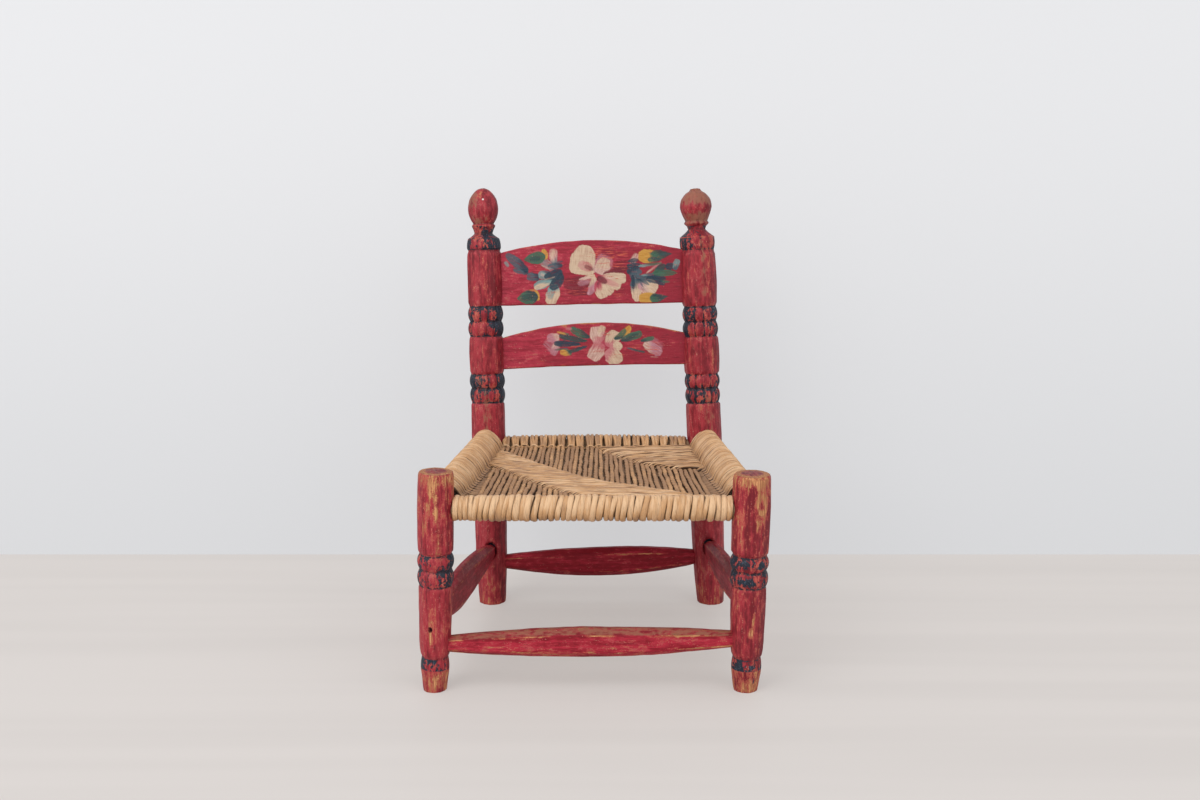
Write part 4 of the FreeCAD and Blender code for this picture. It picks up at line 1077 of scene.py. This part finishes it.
def rush_finish(name, roughness, twist_length, ridged):
    """Dry rush: long twisted fibres, paler and browner stretches, and dark flecks."""
    finish, recipe = new_finish(name)
    place, tone = recipe.mark("fibre", 1), recipe.mark("tone")
    twist = recipe.along_z(place) * (2 * math.pi / twist_length)
    place = recipe.add("ShaderNodeVectorRotate", {"rotation_type": "Z_AXIS"},
                       {"Vector": place, "Angle": twist})
    ridges = recipe.noise(place, (1, 1, 0.06), 520, 2)
    fibres = recipe.noise(place, (1, 1, 0.05), 1500, 3)
    stretches = recipe.noise(place, (1, 1, 0.5), 60, 3)
    flecks = recipe.noise(place, (1, 1, 0.25), 700, 3)
    light = recipe.ramp(tone + (stretches - 0.5) * 1.1 + (fibres - 0.5) * 0.5
                        + (ridges - 0.5) * ridged, 0.0, 1.0)
    colour = recipe.mix(recipe.ramp(light, 0.0, 0.55), brown_rush, light_rush)
    colour = recipe.mix(recipe.ramp(light, 0.55, 1.0), colour, pale_rush)
    colour = recipe.mix(recipe.ramp(fibres, 0.52, 0.70) * 0.45, colour, dark_rush)
    colour = recipe.mix(recipe.ramp(flecks, 0.60, 0.74) * 0.4, colour, dark_rush)
    # Painted shade: the strands are painted near black where their surface lies low, in the gaps
    # between them.
    deep = 1 - recipe.ramp(recipe.mark("crown") + (fibres - 0.5) * 0.12, 0.08, 0.31)
    colour = recipe.mix(deep * 0.9, colour, painted_gap_shade)
    recipe.surface(colour, roughness + fibres * 0.3,
                   fibres * 0.6 + flecks * 0.2 + ridges * ridged, 0.00035, gloss=0.4)
    return finish


strand_rush = rush_finish("light rush strand", 0.28, 0.070, 0.8)
cord_rush = rush_finish("twisted rush cord", 0.52, 0.014, 1.6)


def sheet_top(y):
    """The level of the woven top, which dips towards its middle."""
    share = (y - front_crease) / (rear_crease - front_crease)
    return 0.203 - 0.008 * share - 0.012 * share * (1 - share)


def sheet_bottom(y):
    share = (y - front_crease) / (rear_crease - front_crease)
    return 0.185 - 0.005 * share


def rail_loop(axis, inwards, sideways, radius, reach, bulge, top_level, bottom_level, asides):
    """A strand's line over a rail, from the top sheet round the outside to the bottom one."""
    angles = np.radians(np.linspace(*wrap_degrees, 25))
    arc = np.stack([radius * np.cos(angles), radius * np.sin(angles) + axis[2]], axis=-1)
    crease = np.array((reach, top_level))
    part = np.linspace(0, 1, 7)[:-1, None]
    flank = crease + (arc[0] - crease) * part
    normal = np.array((arc[0, 1] - crease[1], crease[0] - arc[0, 0]))
    normal /= np.hypot(*normal)
    flank = flank + normal * bulge * 4 * part * (1 - part)
    tucked = reach + tuck_reach
    section = np.concatenate([[(tucked, top_level - tuck_drop)], flank, arc,
                              [(reach, bottom_level), (tucked, bottom_level + tuck_drop)]])
    aside = np.interp(np.linspace(0, 1, len(section)), [0, 0.12, 0.35, 0.65, 1], asides)
    up = np.array((0, 0, 1.0))
    line = (axis * (1, 1, 0) + np.outer(section[:, 0], inwards) + np.outer(aside, sideways)
            + np.outer(section[:, 1], up))
    outwards = [up] + [normal[0] * inwards + normal[1] * up] * 6
    outwards += [inwards * math.cos(angle) + up * math.sin(angle) for angle in angles]
    return line, np.array(outwards + [-up, -up])


def uneven(count, knots, seed, reach):
    """Slow random changes along a strand."""
    return reach * patchy(np.full(count, seed * 1.37), np.linspace(0, knots, count), 7)


rng = np.random.default_rng(17)
across_x, inwards_y = np.array((1.0, 0, 0)), np.array((0, 1.0, 0))
loop_start, loop_end = -0.1425, 0.1415
free_left, free_right = 4, 3
loop_widths = np.concatenate([rng.uniform(4.4, 5.4, free_left), rng.uniform(4.7, 7.2, 40),
                              rng.uniform(5.3, 6.3, free_right)])
loop_widths *= (loop_end - loop_start) / loop_widths.sum()
loop_middles = loop_start + np.cumsum(loop_widths) - loop_widths / 2
routes = []
for number, (x, width) in enumerate(zip(loop_middles, loop_widths)):
    thin = rng.uniform(0.56, 0.64)
    radius = rail_radius + 0.0016 + rng.uniform(-0.0002, 0.0004)
    if free_left <= number < len(loop_middles) - free_right:
        high, low = x + rng.uniform(0.0010, 0.0028), x - rng.uniform(0.0008, 0.0030)
        line, facing = rail_loop(
            front_rail, inwards_y, across_x, radius, front_crease_reach, 0.0008,
            sheet_top(front_crease) - 0.0022, front_loop_level, (x, high, high, low, low))
    else:
        angles = np.linspace(-0.6, 2 * math.pi - 0.4, 34)
        facing = np.stack([0 * angles, np.cos(angles), np.sin(angles)], axis=-1)
        slide = np.linspace(0.0016, -0.0016, 34)
        line = front_rail + facing * radius + np.outer(x + slide, across_x)
    count = len(line)
    drawn_in = np.linspace(rng.uniform(1.28, 1.48), rng.uniform(1.02, 1.14), count)
    width = width * (drawn_in + uneven(count, 5, number, 0.12))
    tone = rng.uniform(0.62, 0.92) + uneven(count, 4, number + 60, 0.20)
    # Painted shade: the strand is painted darker along the roll's lower front and underside.
    tone -= 0.35 * eased(np.linspace(0, 1, count), 0.50, 0.80)
    routes.append((line, width, thin, facing, tone))
piece = rush("front_roll_rush", routes, 3, 1.60, 0.20, 0.0028, 8, strand_rush)
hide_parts("seat_front_wrap")

pair_middles = np.linspace(-pair_reach, pair_reach, pairs) + rng.uniform(-0.0006, 0.0006, pairs)
routes = []
for number in range(2 * pairs):
    pair, half = divmod(number, 2)
    x = pair_middles[pair]
    apart = (half - 0.5) * 2
    wide, pinched = 0.0029 * apart, 0.0019 * apart
    lifted = 0.0034 - 0.0020 * (x / pair_reach) ** 2
    line, facing = rail_loop(rear_rail, -inwards_y, across_x,
                             rail_radius + lifted + rng.uniform(0, 0.0006),
                             rear_crease_reach, 0.0012, sheet_top(rear_crease) - 0.0018,
                             rear_loop_level,
                             (x + pinched, x + pinched, x + wide, x + wide, x + wide))
    count = len(line)
    width = rear_width * (1 + uneven(count, 5, number, 0.10)) * rng.uniform(0.92, 1.06)
    width[:5] *= (0.70, 0.76, 0.86, 0.95, 1.0)
    tone = rng.uniform(0.20, 0.55) + uneven(count, 4, number + 60, 0.25)
    routes.append((line, width, 0.76, facing, tone))
for middle in pair_middles:
    part = np.linspace(-1, 1, 13)
    line = np.stack([middle + 0.0056 * part, rear_crease + 0.0010 - 0.0015 * (1 - part ** 2),
                     sheet_top(rear_crease) + 0.0014 - 0.0042 * part ** 2], axis=-1)
    line += rng.uniform(-0.0008, 0.0006, 3)
    routes.append((line, knot_width, 0.85, (0, -0.5, 0.86), rng.uniform(0.45, 0.75)))
piece = rush("rear_roll_rush", routes, 3, 1.35, 0.08, 0.0026, 6, strand_rush)
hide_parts("seat_rear_wrap")

for side_name, front_end, rear_end, inwards in (
        ("left", left_rail_front, left_rail_rear, across_x),
        ("right", right_rail_front, right_rail_rear, -across_x)):
    routes = []
    front_end, rear_end = np.array(front_end), np.array(rear_end)
    first_loop = front_crease + 0.003
    bounds = np.concatenate([[0], np.cumsum(rng.uniform(2.2, 4.2, 40))])
    for number in range(side_loops):
        y = first_loop + (number + 0.5) / side_loops * (rear_crease - first_loop)
        share = (y - front_end[1]) / (rear_end[1] - front_end[1])
        axis = front_end + (rear_end - front_end) * share
        group = np.searchsorted(bounds, number + 0.5) - 1
        in_group = number + 0.5 - (bounds[group] + bounds[group + 1]) / 2
        tail = y - in_group * 0.0017 - 0.004 + max(0, 7 - number) * 0.0012
        line, facing = rail_loop(axis * (1, 0, 1), inwards, inwards_y,
                                 rail_radius + 0.0017 + rng.uniform(0, 0.0006),
                                 crease_reach, 0.0020, sheet_top(y) - 0.0008,
                                 sheet_bottom(y) + 0.0030,
                                 (tail, (3 * tail + y) / 4, y, y, tail))
        tone = rng.uniform(0.50, 0.86) + uneven(len(line), 5, number, 0.20)
        # Painted shade: the strands are painted darker where they go into the crease.
        tone[:4] -= (0.55, 0.45, 0.30, 0.15)
        width = side_width * rng.uniform(0.90, 1.12)
        width = width * (1 + uneven(len(line), 6, number + 9, 0.10))
        width[:4] *= (0.66, 0.72, 0.80, 0.92)
        routes.append((line, width, 0.95, facing, tone))
    piece = rush(side_name + "_roll_rush", routes, 2, 1.45, 0.12, 0.0026, 6, strand_rush)
    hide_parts("seat_" + side_name + "_wrap")


# The two woven sheets. Brown cords run from front to rear. Paler strands run across, under
# the cords except where they float over them: in a sash from the left to the front, and in
# the right rear corner. Both sides are woven alike.

cord_fronts = loop_middles[free_left:-free_right]
cord_rears = np.stack([pair_middles - 0.0026, pair_middles + 0.0026], axis=-1).ravel()
sash_near = ((-0.136, 0.034), (-0.121, 0.020), (-0.102, -0.002), (-0.082, -0.038),
             (-0.058, -0.080), (-0.034, -0.117), (-0.014, -0.140), (-0.008, -0.149))
sash_far = ((-0.136, 0.117), (-0.114, 0.095), (-0.087, 0.061), (-0.062, 0.025),
            (-0.029, -0.020), (-0.004, -0.053), (0.030, -0.083), (0.059, -0.103),
            (0.084, -0.124), (0.100, -0.136), (0.112, -0.149))
corner_near = ((0.004, 0.116), (0.022, 0.084), (0.053, 0.038), (0.070, 0.024),
               (0.098, 0.006), (0.125, 0.003), (0.150, 0.000))
strand_gap, plan_step = 3.3 * mm, 3 * mm
floating_width, hidden_width, hidden_gap = 3.9 * mm, 5.6 * mm, 5.5 * mm
cord_width, cord_taper, cord_points = 6.2 * mm, 0.7 * mm, 120
left_slant, right_slant = 0.1035, 0.0898


def left_crease(y):
    return left_rail_front[0] + (y - left_rail_front[1]) * left_slant + crease_reach


def right_crease(y):
    return right_rail_front[0] - (y - right_rail_front[1]) * right_slant - crease_reach


def level_of(corners, x):
    x_corners, y_corners = np.array(corners).T
    return np.interp(x, x_corners, y_corners)


def floated(x, y):
    """Where the strands float over the cords, fading over a few millimetres."""
    sash = np.minimum(level_of(sash_far, x) - y, y - level_of(sash_near, x))
    corner = y - level_of(corner_near, x)
    return eased(np.maximum(sash, np.where(x > 0, corner, -1)), -0.005, 0.003)


def floating_strands():
    """Plans of the strands that float: down the sash, then over the right rear corner."""
    starts = [(left_crease(y) - 0.003, y) for y in np.arange(0.030, 0.108, strand_gap)]
    steps = np.arange(0, 0.172, strand_gap * 0.92)
    starts += [(np.interp(0.028 - step, *np.array(sash_near).T[::-1, ::-1]), 0.028 - step)
               for step in steps]
    for x, y in starts:
        x, y = x - 0.003, y + rng.uniform(-0.0006, 0.0006)
        plan = [(x, y)]
        while y < level_of(sash_far, x) + 0.002 and y > front_crease - 0.001 and x < 0.135:
            far_back = (y - front_crease) / 0.235
            y -= (0.10 + 0.60 * far_back ** 2) * plan_step
            x += plan_step
            plan.append((x, y))
        yield np.array(plan)
    for y in np.arange(0.0035, rear_crease - 0.002, strand_gap * 1.05):
        left_end = np.interp(y, *np.array(corner_near)[::-1, ::-1].T) - 0.005
        x = np.arange(left_end, right_crease(y) + 0.006, plan_step)
        rise = 0.08 * (x - right_crease(y))
        yield np.stack([x, y + rise + rng.uniform(-0.0005, 0.0005)], axis=-1)


for level, flip, step, sides in (("top", 1, 0.0026, 6), ("bottom", -1, 0.0050, 5)):
    surface = sheet_top if flip > 0 else sheet_bottom
    routes = []
    for number, (start_x, end_x) in enumerate(zip(cord_fronts, cord_rears)):
        y = np.linspace(front_crease - 0.002, rear_crease + 0.002, cord_points)
        part = (y - y[0]) / (y[-1] - y[0])
        x = start_x + (end_x - start_x) * part + uneven(cord_points, 13, number, 0.0009)
        z = surface(y) - flip * (0.0022 + 0.0020 * floated(x, y))
        z = z + uneven(cord_points, 13, number + 50, 0.0006)
        width = cord_width - cord_taper * part
        width = width * (1 + uneven(cord_points, 11, number + 99, 0.12))
        tone = rng.uniform(-0.05, 0.35) + uneven(cord_points, 9, number + 140, 0.25)
        routes.append((np.stack([x, y, z], axis=-1), width, 0.92, (0, 0, float(flip)), tone))
    plies = 3 if flip > 0 else 2
    piece = rush(level + "_sheet_cords", routes, plies, 1.55, 0.040, step, sides, cord_rush)
    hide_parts("seat_" + level + "_web")

    routes = []
    for number, plan in enumerate(floating_strands()):
        count = len(plan)
        if count < 5:
            continue
        from_end = np.minimum(np.arange(count), np.arange(count)[::-1]) * plan_step
        dive = 0.0056 * (1 - eased(from_end, -0.001, 0.008))
        z = surface(plan[:, 1]) + flip * (0.0008 - dive + uneven(count, 9, number, 0.0006))
        line = np.concatenate([plan, z[:, None]], axis=1)
        width = floating_width * rng.uniform(0.86, 1.14)
        width = width * (1 + uneven(count, 8, number + 30, 0.14))
        tone = rng.uniform(0.24, 0.90) + uneven(count, 6, number + 70, 0.26)
        routes.append((line, width, 0.80, (0, 0, float(flip)), tone))
    for number, y in enumerate(np.arange(front_crease + 0.012, rear_crease, hidden_gap)):
        x = np.linspace(left_crease(y) - 0.001, right_crease(y) + 0.001, 45)
        edge = np.minimum(x - x[0], x[-1] - x)
        z = surface(y) - flip * (0.0016 + 0.0046 * eased(edge, 0, 0.009))
        line = np.stack([x, y + uneven(45, 9, number, 0.0008), z + 0 * x], axis=-1)
        # Painted shade: the strands under the cords are painted dark.
        tone = 0.05 + uneven(45, 9, number + 20, 0.20)
        routes.append((line, hidden_width, 0.80, (0, 0, float(flip)), tone))
    piece = rush(level + "_sheet_strands", routes, 2, 1.35, 0.09, max(step, 0.003), sides,
                 strand_rush)
    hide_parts("seat_" + level + "_web")
